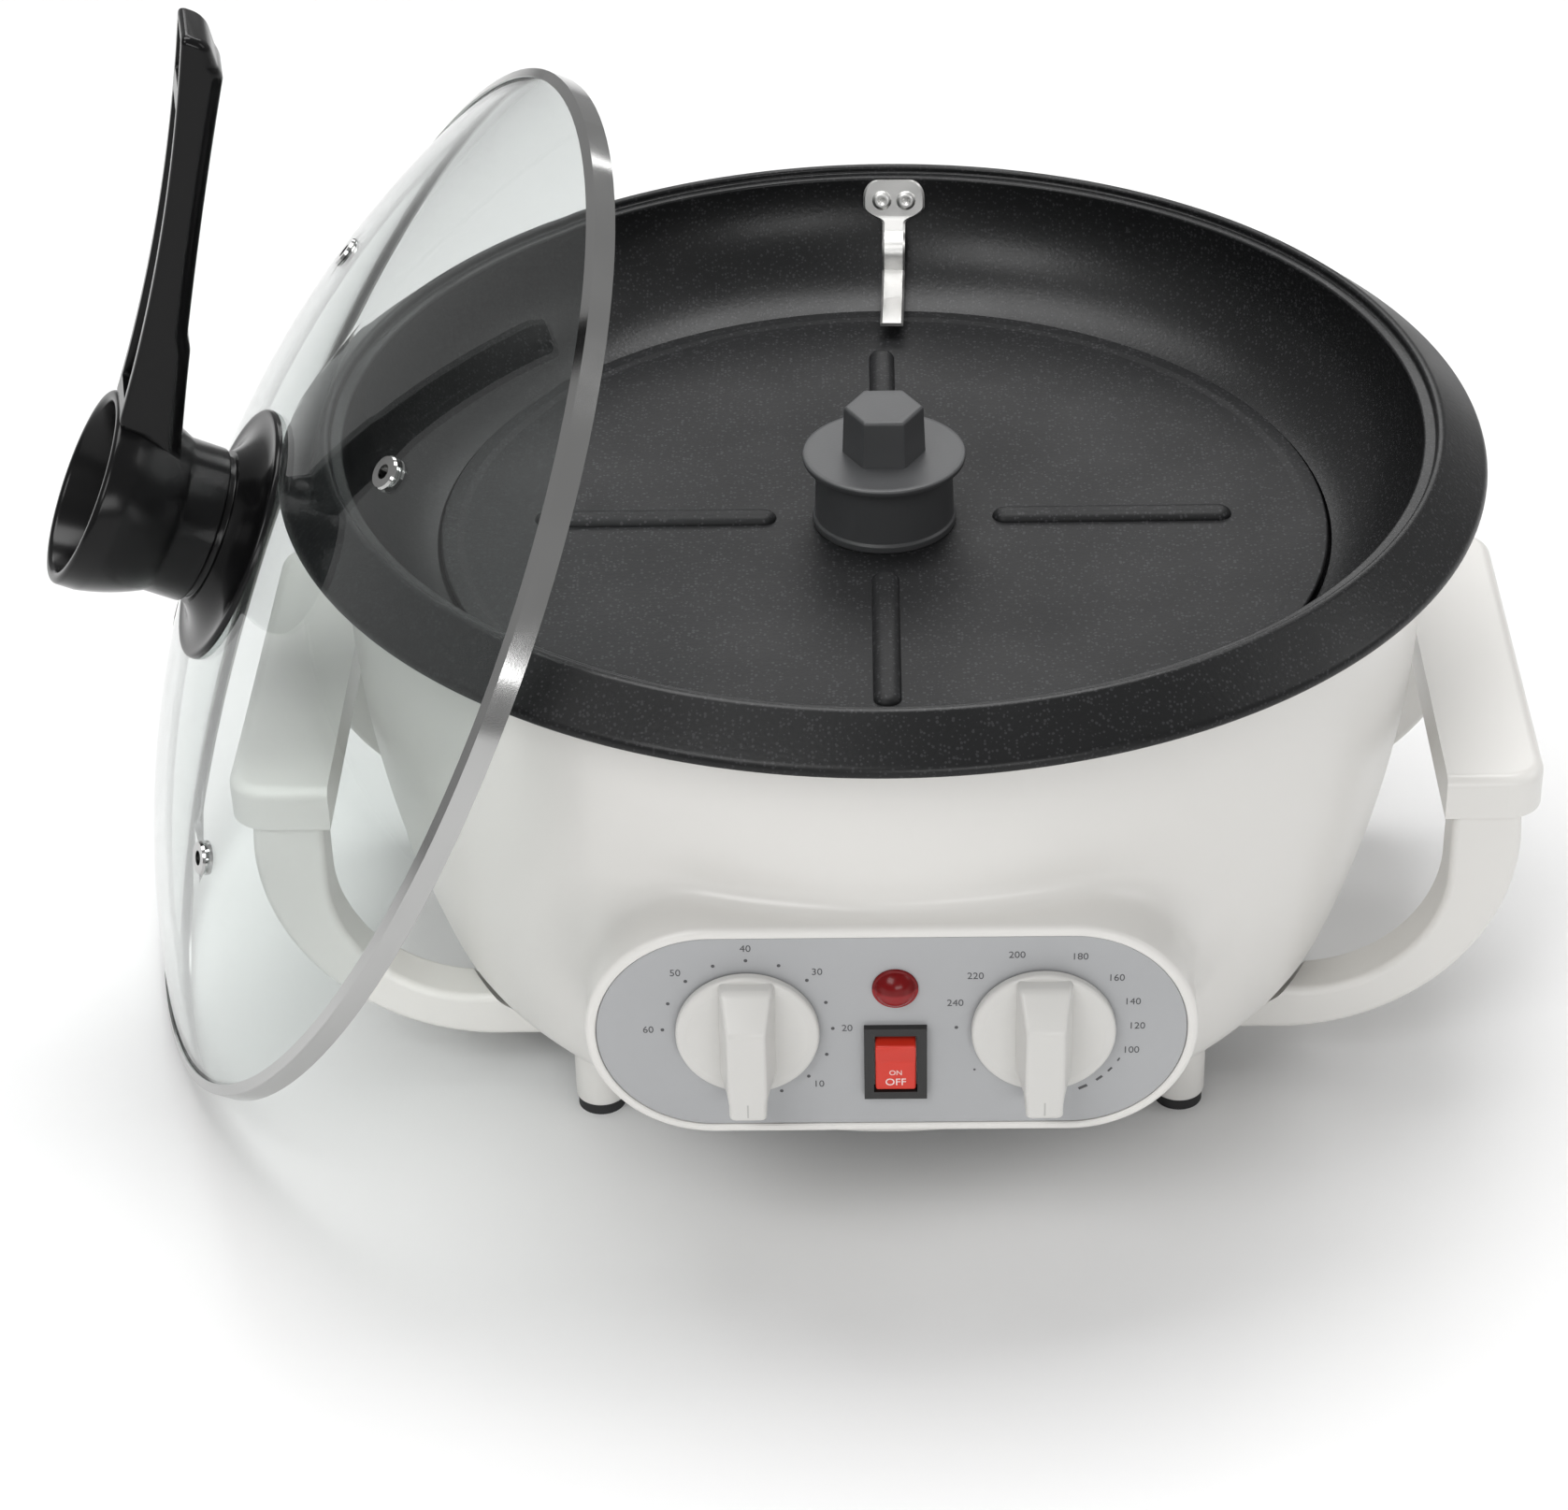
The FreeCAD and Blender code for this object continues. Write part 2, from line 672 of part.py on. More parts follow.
bottom = sketch_on(shell, "XY_Plane", "bottom_height")
circle(bottom, "0", "0", "service_radius")
for side, end in LEG_PLACES:
    circle(bottom, side + COVER_SCREW_SPOT, end + COVER_SCREW_SPOT, "screw_radius")
    circle(bottom, side + ARM_SCREW_X, end + ARM_SCREW_Y, "screw_radius")
padded(shell, bottom, "2 * housing_wall", cut=True)


def bowl_side():
    """The centre of the arc that the bowl's side follows, in the plane of radius and height."""
    foot = Vector(value(BOWL_FOOT), value(BOWL_FOOT_HEIGHT), 0)
    shoulder = Vector(value(BOWL_SHOULDER), value("shoulder_height"), 0)
    return arc_between(foot, shoulder, value("bowl_side_radius")).Center


def inlet_place(thing, lift):
    """Stands a piece on the back of the bowl, square to its wall and lift away from it."""
    centre = bowl_side()
    slope = math.asin((centre.y - value("inlet_height")) / value("bowl_side_radius"))
    out = Vector(0, math.cos(slope), -math.sin(slope))
    middle = Vector(0, centre.x, centre.y)
    thing.Placement = Placement(middle + out * (value("bowl_side_radius") + value(lift)),
                                Rotation(Vector(0, 0, 1), out))


inlet_hole = bind(doc.addObject("Part::Cylinder", "inlet_hole"), Radius="inlet_radius + hole_clearance",
                  Height="4 * housing_wall")
inlet_place(inlet_hole, "-2 * housing_wall")
node(cut_from("housing_cut", shell, inlet_hole), "housing")

cord_inlet = new_body("cord_inlet")
revolved(cord_inlet, [
    ("inlet_bore", "0 - housing_wall - 2 * inlet_gap - inlet_flange_thickness"),
    ("inlet_flange_radius", "0 - housing_wall - 2 * inlet_gap - inlet_flange_thickness"),
    ("inlet_flange_radius", "0 - housing_wall - 2 * inlet_gap"),
    ("inlet_radius", "0 - housing_wall - 2 * inlet_gap"),
    ("inlet_radius", "0"),
    ("inlet_flange_radius", "0"),
    ("inlet_bore + inlet_mouth_land", "inlet_flange_thickness"),
    ("inlet_bore", "inlet_flange_thickness"),
])
inlet_place(cord_inlet, "inlet_gap")
node(cord_inlet, "cord_inlet")


# ---- Rubber feet, pushed into the legs ----
feet = []
for side, end in LEG_PLACES:
    spot = (side + LEG_X, end + LEG_Y)
    pad = cylinder("foot_pad", "foot_radius", "foot_height", *spot)
    stem = cylinder("foot_stem", "foot_stem_radius", "foot_height + foot_stem_length", *spot)
    feet.append(merged("foot", [pad, stem]))
node(grouped("feet", feet), "rubber_feet")


# ---- Base cover: a slotted steel disc under the service opening ----
cover = new_body("base_cover")
disc = sketch_on(cover, "XY_Plane", "bottom_height - cover_sheet")
circle(disc, "0", "0", COVER_RADIUS)
for side, end in LEG_PLACES:
    circle(disc, side + COVER_SCREW_SPOT, end + COVER_SCREW_SPOT, "screw_radius + hole_clearance")
padded(cover, disc, "cover_sheet")
slot = sketch_on(cover, "XY_Plane", "bottom_height - cover_sheet")
rectangle(slot, "(cover_slot_length / 2)", "(cover_slot_width / 2)", "cover_slot_place")
slot_cut = padded(cover, slot, "cover_sheet", cut=True)


def around(body, feature, count):
    """Repeats a feature evenly about the Z axis."""
    doc.recompute()
    pattern = body.newObject("PartDesign::PolarPattern", body.Name + "_pattern")
    pattern.Originals = [feature]
    axis = [datum for datum in body.Origin.OriginFeatures if datum.Role == "Z_Axis"]
    pattern.Axis = (axis[0], [""])
    pattern.Angle = 360
    body.Tip = pattern
    return bind(pattern, Occurrences=count)


around(cover, slot_cut, "cover_slots")
node(cover, "base_cover")


def screw(across, back, under):
    """A screw driven upwards, with its head below the height given."""
    head = cylinder("head", "screw_head_radius", "screw_head_height", across, back,
                    f"{under} - screw_head_height")
    shank = cylinder("shank", "screw_radius", "screw_head_height + screw_length", across, back,
                     f"{under} - screw_head_height")
    return merged("screw", [head, shank])


cover_screws = [screw(side + COVER_SCREW_SPOT, end + COVER_SCREW_SPOT, "bottom_height - cover_sheet")
                for side, end in LEG_PLACES]
node(grouped("cover_screw_set", cover_screws), "base_screws")


# ---- Handles: a flat grip on two curved arms, screwed under the bowl ----
def handle_arm(body, start):
    side = sketch_on(body, "XZ_Plane", start)
    outline(side, [
        (ARM_INNER_FACE, "grip_bottom + grip_thickness / 2"),
        (ARM_INNER_FACE, "arm_bend_height"),
        (f"{BOWL_FLAT} - arm_inner_foot_inset", "arm_inner_level", "-arm_inner_round"),
        (f"{ARM_SCREW_X} - arm_tab_margin", "arm_inner_level"),
        (f"{ARM_SCREW_X} - arm_tab_margin", "arm_outer_level"),
        (f"{BOWL_FLAT} - arm_outer_foot_inset", "arm_outer_level"),
        (ARM_OUTER_FACE, "grip_bottom + arm_lap", "arm_outer_round"),
        (ARM_OUTER_FACE, "grip_bottom + grip_thickness / 2"),
    ])
    padded(body, side, "arm_width")


def long_bend(edge):
    """Picks the long curved edges of the arms."""
    if not isinstance(edge.Curve, Part.Circle):
        return False
    rounds = (value("arm_outer_round"), value("arm_inner_round"))
    return min(abs(edge.Curve.Radius - radius) for radius in rounds) < NEAR


def grip_rim(edge):
    """Picks the upper edges of the grip, but not the one against the bowl."""
    box = edge.BoundBox
    level = abs(box.ZMax - value("grip_bottom + grip_thickness")) < NEAR
    return level and box.ZMax - box.ZMin < NEAR and box.XMax > value(GRIP_INNER) + APART


right = new_body("handle")
slab = sketch_on(right, "XY_Plane", "grip_bottom")
outline(slab, [
    (GRIP_INNER, "-grip_half_length"),
    (f"{GRIP_OUTER} - grip_corner", "-grip_half_length"),
    (GRIP_OUTER, "grip_corner - grip_half_length", "grip_corner"),
    (GRIP_OUTER, "grip_half_length - grip_corner"),
    (f"{GRIP_OUTER} - grip_corner", "grip_half_length", "grip_corner"),
    (GRIP_INNER, "grip_half_length"),
])
padded(right, slab, "grip_thickness")
rounded(right, "grip_edge_round", grip_rim)
handle_arm(right, f"{ARM_FACE} - arm_width")
handle_arm(right, f"-{ARM_FACE}")
rounded(right, "arm_edge_round", long_bend)
revolved(right, bowl_outline("arm_clearance"), cut=True)
for radius, depth in (("screw_radius + hole_clearance", "bottom_height - arm_outer_level"),
                      ("screw_head_radius + hole_clearance", "counterbore_depth")):
    drill = sketch_on(right, "XY_Plane", "arm_outer_level")
    for end in ("", "-"):
        circle(drill, ARM_SCREW_X, end + ARM_SCREW_Y, radius)
    padded(right, drill, depth, cut=True)
node(right, "right_handle")

left = doc.addObject("Part::Mirroring", "handle_mirrored")
left.Source = right
left.Normal = Vector(1, 0, 0)
node(left, "left_handle")

arm_screws = [screw(side + ARM_SCREW_X, end + ARM_SCREW_Y, "arm_outer_level + counterbore_depth")
              for side, end in LEG_PLACES]
node(grouped("arm_screw_set", arm_screws), "handle_screws")


# ---- Scraper strip: bent spring steel, riveted inside the pan's wall, its toe above the disc ----
WALL_SAG = "((strip_head_width / 2)^2 / (2 * mouth_radius))"
HEAD_TOP = "(rim_height - strip_head_top)"
HEAD_FOOT = f"({HEAD_TOP} - strip_head_height)"
HEAD_BACK = f"({SEAT_RADIUS} - {WALL_SAG} - strip_wall_gap)"
HEAD_FOOT_BACK = (f"({ROUND_CENTRE} + sqrt(wall_round^2 - ({HEAD_FOOT} - {ROUND_HEIGHT})^2)"
                  f" - {WALL_SAG} - strip_wall_gap)")
TOE_HEIGHT = f"({DISC_TOP} + strip_toe_gap + disc_rib_height + strip_sheet)"


def strip_point(back, up):
    return Vector(0, value(back), value(up))


def bent_sheet(points, thickness, width):
    """A strip of sheet along the points, which all lie on one plane square to X."""
    line = Part.makePolygon(points)
    side = line.makeOffset2D(thickness, 0, True, True, False)
    side.translate(Vector(-width / 2, 0, 0))
    return side.extrude(Vector(width, 0, 0))


head_top = strip_point(HEAD_BACK, HEAD_TOP)
head_foot = strip_point(HEAD_FOOT_BACK, HEAD_FOOT)
shelf_end = head_foot - Vector(0, value("strip_shelf_reach"), value("strip_shelf_drop"))
leg_end = Vector(0, shelf_end.y - value("strip_leg_reach"), value(TOE_HEIGHT))
toe_end = leg_end - Vector(0, value("strip_toe_reach"), 0)
head_up = (head_top - head_foot).normalize()
head_out = Vector(1, 0, 0).cross(head_up)
strip_turn = Rotation(Vector(0, 0, 1), -math.degrees(math.asin(value("strip_offset / mouth_radius"))))
head_middle = (head_top + head_foot) / 2
head_spot = Placement(head_middle, Rotation(Vector(1, 0, 0), head_up, head_out))
head_frame = Placement(Vector(), strip_turn) * head_spot


def strip_shape():
    """The bent strip with its wide, round-cornered head, in the plane square to X."""
    strip = bent_sheet([head_top, head_foot, shelf_end, leg_end, toe_end],
                       value("strip_sheet"), value("strip_width"))
    head = Part.makeBox(value("strip_head_width"), value("strip_head_height"), value("strip_sheet"))
    corners = [edge for edge in head.Edges if abs(edge.tangentAt(0).z) > 0.99]
    head = head.makeFillet(value("strip_head_round"), corners)
    head.translate(Vector(-value("strip_head_width") / 2, -value("strip_head_height") / 2, 0))
    head.Placement = head_spot * head.Placement
    return strip.fuse(head).removeSplitter()


def rivet_spot(side, lift):
    """A place on a rivet's axis, lift in front of the head's back face."""
    offset = Vector(side * value("rivet_spacing / 2"), 0, value(lift))
    return head_frame * Placement(offset, Rotation())


def at_rivets(name, radius, start, end):
    """One cylinder on each rivet's axis, from one lift to another."""
    rods = []
    for side in (-1, 1):
        rod = bind(doc.addObject("Part::Cylinder", name), Radius=radius, Height=f"{end} - ({start})")
        rod.Placement = rivet_spot(side, start)
        rods.append(rod)
    return rods


RIVET_TAIL = "0 - pan_sheet - rivet_reach"
THROUGH_PAN = ("0 - 2 * pan_sheet - rivet_reach", "2 * pan_sheet")

strip_sheet = doc.addObject("Part::Feature", "strip_sheet")
strip_sheet.Shape = strip_shape()
strip_sheet.Placement = Placement(Vector(), strip_turn)
strip_holes = grouped("strip_holes", at_rivets("strip_hole", "rivet_radius", *THROUGH_PAN))
node(cut_from("strip_cut", strip_sheet, strip_holes), "scraper_strip")

pan_holes = grouped("pan_holes", at_rivets("pan_hole", "rivet_radius", *THROUGH_PAN))
node(cut_from("pan_cut", pressing, pan_holes), "pan")

RIVET_TOP = "strip_sheet + rivet_head_height"
rivet_parts = at_rivets("rivet_shank", "rivet_radius", RIVET_TAIL, RIVET_TOP)
rivet_parts += at_rivets("rivet_head", "rivet_head_radius", "strip_sheet", RIVET_TOP)
node(merged("rivets", rivet_parts), "strip_rivets")


# ---- Shaft bush, through the pan's middle, and its nut ----
SHAFT_BORE = "(shaft_radius + shaft_clearance)"

bush = new_body("shaft_bush")
revolved(bush, [
    (SHAFT_BORE, f"{PAN_UNDERSIDE} - bush_tail"),
    ("bush_radius", f"{PAN_UNDERSIDE} - bush_tail"),
    ("bush_radius", PAN_FLOOR),
    ("bush_flange_radius", PAN_FLOOR),
    ("bush_flange_radius", f"{PAN_FLOOR} + bush_flange_thickness"),
    (SHAFT_BORE, f"{PAN_FLOOR} + bush_flange_thickness"),
])
node(bush, "shaft_bush")


def hex_nut(across_flats, thickness, bore, across="0", back="0", up="0"):
    prism = bind(doc.addObject("Part::Prism", "nut_blank"), Circumradius=f"{across_flats} / sqrt(3)",
                 Height=thickness)
    place(prism, across, back, up)
    return cut_from("hex_nut", prism, cylinder("nut_bore", bore, thickness, across, back, up))


node(hex_nut("bush_nut_across", "nut_thickness", "bush_radius", up=f"{PAN_UNDERSIDE} - nut_thickness"),
     "bush_nut")


# ---- Turntable with low ribs, its hub column and the cap nut ----
table = new_body("turntable")
revolved(table, [
    ("shaft_radius", STEP_HEIGHT),
    (f"{STEP_RADIUS} - disc_edge_gap", STEP_HEIGHT),
    (f"{STEP_RADIUS} - disc_edge_gap", DISC_TOP),
    ("shaft_radius", DISC_TOP),
])
rib = sketch_on(table, "XY_Plane", DISC_TOP)
rib_start = "(column_radius + disc_rib_start)"
outline(rib, [
    (rib_start, "-disc_rib_width / 2"),
    (f"{rib_start} + disc_rib_length", "-disc_rib_width / 2"),
    (f"{rib_start} + disc_rib_length", "disc_rib_width / 2"),
    (rib_start, "disc_rib_width / 2"),
])
around(table, padded(table, rib, "disc_rib_height"), "disc_ribs")


def rib_top(edge):
    """Picks the upper edges of the ribs."""
    box = edge.BoundBox
    return abs(box.ZMin - value(f"{DISC_TOP} + disc_rib_height")) < NEAR and box.ZMax - box.ZMin < NEAR


rounded(table, "disc_rib_round", rib_top)
node(table, "turntable")

hub = new_body("hub_column")
revolved(hub, [
    ("shaft_radius", DISC_TOP),
    ("column_radius", DISC_TOP),
    ("column_neck_radius", COLUMN_TOP),
    ("hub_disc_radius", COLUMN_TOP),
    ("hub_disc_radius", HUB_TOP),
    ("shaft_radius", HUB_TOP),
])
node(hub, "hub_column")

nut_blank = bind(doc.addObject("Part::Prism", "cap_blank"), Circumradius="nut_radius", Height="nut_height")
place(nut_blank, up=HUB_TOP)
nut_taper = bind(doc.addObject("Part::Cone", "cap_taper"), Radius1="nut_foot_radius",
                 Radius2="nut_top_radius", Height="nut_height")
place(nut_taper, up=HUB_TOP)
nut_trim = doc.addObject("Part::Common", "cap_trim")
nut_trim.Base = nut_blank
nut_trim.Tool = nut_taper
nut_bore = cylinder("cap_bore", "shaft_radius", "nut_bore_depth", up=HUB_TOP)
node(cut_from("cap_cut", nut_trim, nut_bore), "cap_nut")


# ---- Drive: shaft, coupling and the motor's output shaft ----
COUPLING_MIDDLE = f"({COUPLING_FOOT} + coupling_length / 2)"

node(cylinder("drive_shaft", "shaft_radius", f"{HUB_TOP} + nut_bore_depth - {COUPLING_MIDDLE}",
              up=COUPLING_MIDDLE), "drive_shaft")
coupling = new_body("coupling")
revolved(coupling, [
    ("motor_shaft_radius", COUPLING_FOOT),
    ("coupling_radius", COUPLING_FOOT),
    ("coupling_radius", f"{COUPLING_FOOT} + coupling_length"),
    ("shaft_radius", f"{COUPLING_FOOT} + coupling_length"),
    ("shaft_radius", COUPLING_MIDDLE),
    ("motor_shaft_radius", COUPLING_MIDDLE),
])
node(coupling, "coupling")
node(cylinder("output_shaft", "motor_shaft_radius", f"{COUPLING_MIDDLE} - {DECK_UNDER} + motor_shaft_depth",
              up=f"{DECK_UNDER} - motor_shaft_depth"), "motor_output_shaft")


# ---- Heating element: a tube bent to a ring, with two legs down to its terminals ----
LEG_END = ("element_ring_radius * cos(element_arc * 1 deg)",
           "element_ring_radius * sin(element_arc * 1 deg)")
LEG_SPOTS = [("element_ring_radius", "0"), LEG_END]

ring = bind(doc.addObject("Part::Torus", "element_ring"), Radius1="element_ring_radius",
            Radius2="element_tube_radius", Angle3="element_arc")
place(ring, up=ELEMENT_HEIGHT)
element_parts = [ring]
for spot in LEG_SPOTS:
    knee = bind(doc.addObject("Part::Sphere", "element_knee"), Radius="element_tube_radius")
    element_parts.append(place(knee, *spot, ELEMENT_HEIGHT))
    element_parts.append(cylinder("element_leg", "element_tube_radius", "element_leg_length", *spot,
                                  f"{ELEMENT_HEIGHT} - element_leg_length"))
node(merged("element", element_parts), "heating_element")


# ---- Studs under the pan, which hold the element's straps, the heat shield and the motor ----
STUD_SPOT = "(stud_place * sqrt(0.5))"
STUD_SPOTS = [(side + STUD_SPOT, end + STUD_SPOT) for side, end in LEG_PLACES]


def stud_nut(spot, foot):
    return hex_nut("nut_across", "nut_thickness", "stud_radius", *spot, foot)


studs = []
strap_nuts = []
shield_nuts = []
for (side, end), spot in zip(LEG_PLACES, STUD_SPOTS):
    shoulder = cylinder("stud_shoulder", "stud_shoulder_radius", "2 * element_tube_radius", *spot, STRAP_TOP)
    thread = cylinder("stud_thread", "stud_radius", "stud_length", *spot, f"{PAN_UNDERSIDE} - stud_length")
    studs.append(merged("stud", [shoulder, thread]))
    strap_nuts.append(stud_nut(spot, SHIELD_TOP))
    under = f"{SHIELD_UNDER} - bracket_sheet" if side == end else SHIELD_UNDER
    shield_nuts.append(stud_nut(spot, f"{under} - nut_thickness"))
node(grouped("stud_set", studs), "pan_studs")
node(grouped("strap_nut_set", strap_nuts), "strap_nuts")
node(grouped("shield_nut_set", shield_nuts), "shield_nuts")

DIAGONAL = Rotation(Vector(0, 0, 1), 45)

straps = new_body("element_straps")
straps.AllowCompound = True
strap = sketch_on(straps, "XY_Plane", f"{STRAP_TOP} - strap_sheet")
rectangle(strap, "((strap_outer_end - strap_inner_end) / 2)", "(strap_width / 2)",
          "(strap_outer_end + strap_inner_end) / 2")
circle(strap, "stud_place", "0", "stud_radius")
around(straps, padded(straps, strap, "strap_sheet"), "strap_count")
straps.Placement = Placement(Vector(), DIAGONAL)
node(straps, "element_straps")

shield = new_body("heat_shield")
revolved(shield, [
    ("shield_centre_hole", SHIELD_UNDER),
    ("shield_radius", SHIELD_UNDER),
    ("shield_radius", f"{SHIELD_TOP} + shield_rim"),
    ("shield_radius - shield_sheet", f"{SHIELD_TOP} + shield_rim"),
    ("shield_radius - shield_sheet", SHIELD_TOP),
    ("shield_centre_hole", SHIELD_TOP),
])
punched = sketch_on(shield, "XY_Plane", SHIELD_UNDER)
for spot in STUD_SPOTS:
    circle(punched, *spot, "stud_radius")
for spot in LEG_SPOTS:
    circle(punched, *spot, "element_tube_radius + element_hole_gap")
padded(shield, punched, "shield_sheet", cut=True)
node(shield, "heat_shield")


# ---- Motor bracket: a dropped bridge across two of the studs ----
def bridge(level):
    """One face of the bridge, from its left foot to its right foot."""
    half = [("bracket_half_length", level), ("bracket_foot_start", level),
            ("bracket_deck_half", f"{level} - bracket_drop")]
    return [("-" + across, up) for across, up in half] + half[::-1]


bracket = new_body("motor_bracket")
side_view = sketch_on(bracket, "XZ_Plane", "bracket_width / 2")
outline(side_view, bridge(SHIELD_UNDER) + bridge(f"{SHIELD_UNDER} - bracket_sheet")[::-1])
padded(bracket, side_view, "bracket_width", back=True)
drilled = sketch_on(bracket, "XY_Plane", DECK_UNDER)
circle(drilled, "0", "0", "deck_hole_radius")
for side in ("", "-"):
    circle(drilled, side + "stud_place", "0", "stud_radius")
    circle(drilled, side + "motor_screw_place", "0", "screw_radius")
padded(bracket, drilled, "2 * bracket_drop", cut=True)
bracket.Placement = Placement(Vector(), DIAGONAL)
node(bracket, "motor_bracket")


# ---- Geared motor, hung under the bracket's deck ----
GEARBOX_FOOT = f"({DECK_UNDER} - gearbox_length)"

gearbox = new_body("gearbox")
revolved(gearbox, [
    ("0", GEARBOX_FOOT),
    ("motor_radius", GEARBOX_FOOT),
    ("motor_radius", DECK_UNDER),
    ("motor_shaft_radius + shaft_clearance", DECK_UNDER),
    ("motor_shaft_radius + shaft_clearance", f"{DECK_UNDER} - motor_shaft_depth - hole_clearance"),
    ("0", f"{DECK_UNDER} - motor_shaft_depth - hole_clearance"),
])
tapped = sketch_on(gearbox, "XY_Plane", DECK_UNDER)
for side in ("", "-"):
    circle(tapped, side + "motor_screw_place", "0", "screw_radius")
padded(gearbox, tapped, "screw_length", cut=True, back=True)
gearbox.Placement = Placement(Vector(), DIAGONAL)
node(gearbox, "gearbox")
node(cylinder("motor_case", "motor_can_radius", "motor_can_length", up=f"{GEARBOX_FOOT} - motor_can_length"),
     "motor_can")

motor_screws = new_body("motor_screws")
motor_screws.AllowCompound = True
for radius, low, high in (("screw_head_radius", DECK_TOP, f"{DECK_TOP} + screw_head_height"),
                          ("screw_radius", f"{DECK_TOP} - screw_length", DECK_TOP)):
    round_bars = sketch_on(motor_screws, "XY_Plane", low)
    for side in ("", "-"):
        circle(round_bars, side + "motor_screw_place", "0", radius)
    padded(motor_screws, round_bars, f"{high} - ({low})")
motor_screws.Placement = Placement(Vector(), DIAGONAL)
node(motor_screws, "motor_screws")


# ---- Terminal block, on the bowl's floor behind the motor ----
block = bind(doc.addObject("Part::Box", "block"), Length="block_width", Width="block_depth",
             Height="block_height")
node(place(block, "-block_width / 2", "block_place - block_depth / 2", "bottom_height + housing_wall"),
     "terminal_block")


# ---- Control fascia: a bare steel plate with holes for the controls ----
fascia = new_body("control_fascia")
plate = sketch_on(fascia, "XZ_Plane", FASCIA_BACK)
obround(plate, "(boss_half_length - fascia_border - fascia_gap)",
        "(boss_half_height - fascia_border - fascia_gap)", "boss_height")
control_holes(plate, "hole_clearance")
padded(fascia, plate, "fascia_sheet")
node(fascia, "control_fascia")

# Each control is drawn standing on its back: Z points out of the fascia, from its front face
FACING = Rotation(Vector(1, 0, 0), 90)
WALL_BACK = "(fascia_sheet + housing_wall)"


def on_fascia(thing, across, up, tilt=0, out="0"):
    thing.Placement = Placement(Vector(), FACING * Rotation(Vector(1, 0, 0), tilt))
    return place(thing, across, f"-({FASCIA_FRONT}) - ({out})", up)


# ---- Rotary controls: knob and spindle turn, the timer and the thermostat stand still ----
def knob(name, across):
    """A round skirt with a tall bar across it, which tapers to a pointer at the bottom."""
    body = new_body(name)
    revolved(body, [
        ("0", "knob_gap"),
        ("knob_radius", "knob_gap"),
        ("knob_radius", "knob_gap + knob_skirt"),
        ("0", "knob_gap + knob_skirt"),
    ])
    rounded(body, "knob_skirt_round", on_ring("knob_radius", "knob_gap + knob_skirt"))
    bar = sketch_on(body, "XY_Plane", "knob_gap + knob_skirt")
    shoulder = "sqrt(bar_top_reach^2 - (bar_top_width / 2)^2)"
    outline(bar, [
        ("-bar_pointer_width / 2", "-bar_pointer_reach"),
        ("bar_pointer_width / 2", "-bar_pointer_reach"),
        ("bar_top_width / 2", "0"),
        ("bar_top_width / 2", shoulder),
        ("-bar_top_width / 2", shoulder, "bar_top_reach"),
        ("-bar_top_width / 2", "0"),
    ])
    padded(body, bar, "bar_height")
    bar_top = value("knob_gap + knob_skirt + bar_height")
    rounded(body, "bar_round", lambda edge: edge.BoundBox.ZMin > bar_top - NEAR)
    socket = sketch_on(body, "XY_Plane", "knob_gap")
    circle(socket, "0", "0", "spindle_radius")
    padded(body, socket, "spindle_in_knob", cut=True)
    return on_fascia(body, across, KNOB_HEIGHT)


def control_body(name, radius, depth, across):
    """The case behind the panel, with a neck through it and a bore for the spindle."""
    body = new_body(name)
    bore = "spindle_radius + spindle_clearance"
    bottom = f"0 - {WALL_BACK} - spindle_in_body - hole_clearance"
    revolved(body, [
        ("0", f"0 - {WALL_BACK} - {depth}"),
        (radius, f"0 - {WALL_BACK} - {depth}"),
        (radius, f"0 - {WALL_BACK}"),
        ("neck_radius", f"0 - {WALL_BACK}"),
        ("neck_radius", "0"),
        (bore, "0"),
        (bore, bottom),
        ("0", bottom),
    ])
    return on_fascia(body, across, KNOB_HEIGHT)


def spindle(name, across):
    rod = doc.addObject("Part::Cylinder", name)
    bind(rod, Radius="spindle_radius", Height=f"{WALL_BACK} + spindle_in_body + knob_gap + spindle_in_knob")
    return on_fascia(rod, across, KNOB_HEIGHT, out=f"0 - {WALL_BACK} - spindle_in_body")


TIMER_ACROSS = "(controls_shift - knob_half_spacing)"
HEAT_ACROSS = "(controls_shift + knob_half_spacing)"
node(knob("timer_knob_body", TIMER_ACROSS), "timer_knob")
node(spindle("timer_rod", TIMER_ACROSS), "timer_spindle")
node(control_body("timer_case", "timer_radius", "timer_depth", TIMER_ACROSS), "timer_mechanism")
node(knob("heat_knob_body", HEAT_ACROSS), "temperature_knob")
node(spindle("heat_rod", HEAT_ACROSS), "temperature_spindle")
node(control_body("thermostat_case", "thermostat_radius", "thermostat_depth", HEAT_ACROSS), "thermostat_body")


# ---- Pilot lamp: a domed lens with its barrel, and the ring that holds it behind the panel ----
lens = new_body("lamp_lens")
revolved(lens, [
    ("0", "-lamp_barrel_length"),
    ("lamp_barrel_radius", "-lamp_barrel_length"),
    ("lamp_barrel_radius", "0"),
    ("lamp_radius", "0"),
    ("lamp_radius", "lamp_flange"),
    ("0", "lamp_flange + lamp_dome", "(lamp_radius^2 + lamp_dome^2) / (2 * lamp_dome)"),
])
node(on_fascia(lens, "controls_shift", LAMP_HEIGHT), "lamp_lens")
holder = new_body("lamp_holder")
revolved(holder, [
    ("lamp_barrel_radius", f"0 - {WALL_BACK} - lamp_ring_height"),
    ("lamp_ring_radius", f"0 - {WALL_BACK} - lamp_ring_height"),
    ("lamp_ring_radius", f"0 - {WALL_BACK}"),
    ("lamp_barrel_radius", f"0 - {WALL_BACK}"),
])
node(on_fascia(holder, "controls_shift", LAMP_HEIGHT), "lamp_holder")


# ---- Mains switch: a bezel and case with a rocker that tips about a pivot inside ----
ROCKER_REACH = ("(rocker_half_height * cos(rocker_tilt * 1 deg)"
                " + rocker_height * sin(rocker_tilt * 1 deg) + rocker_end_gap)")

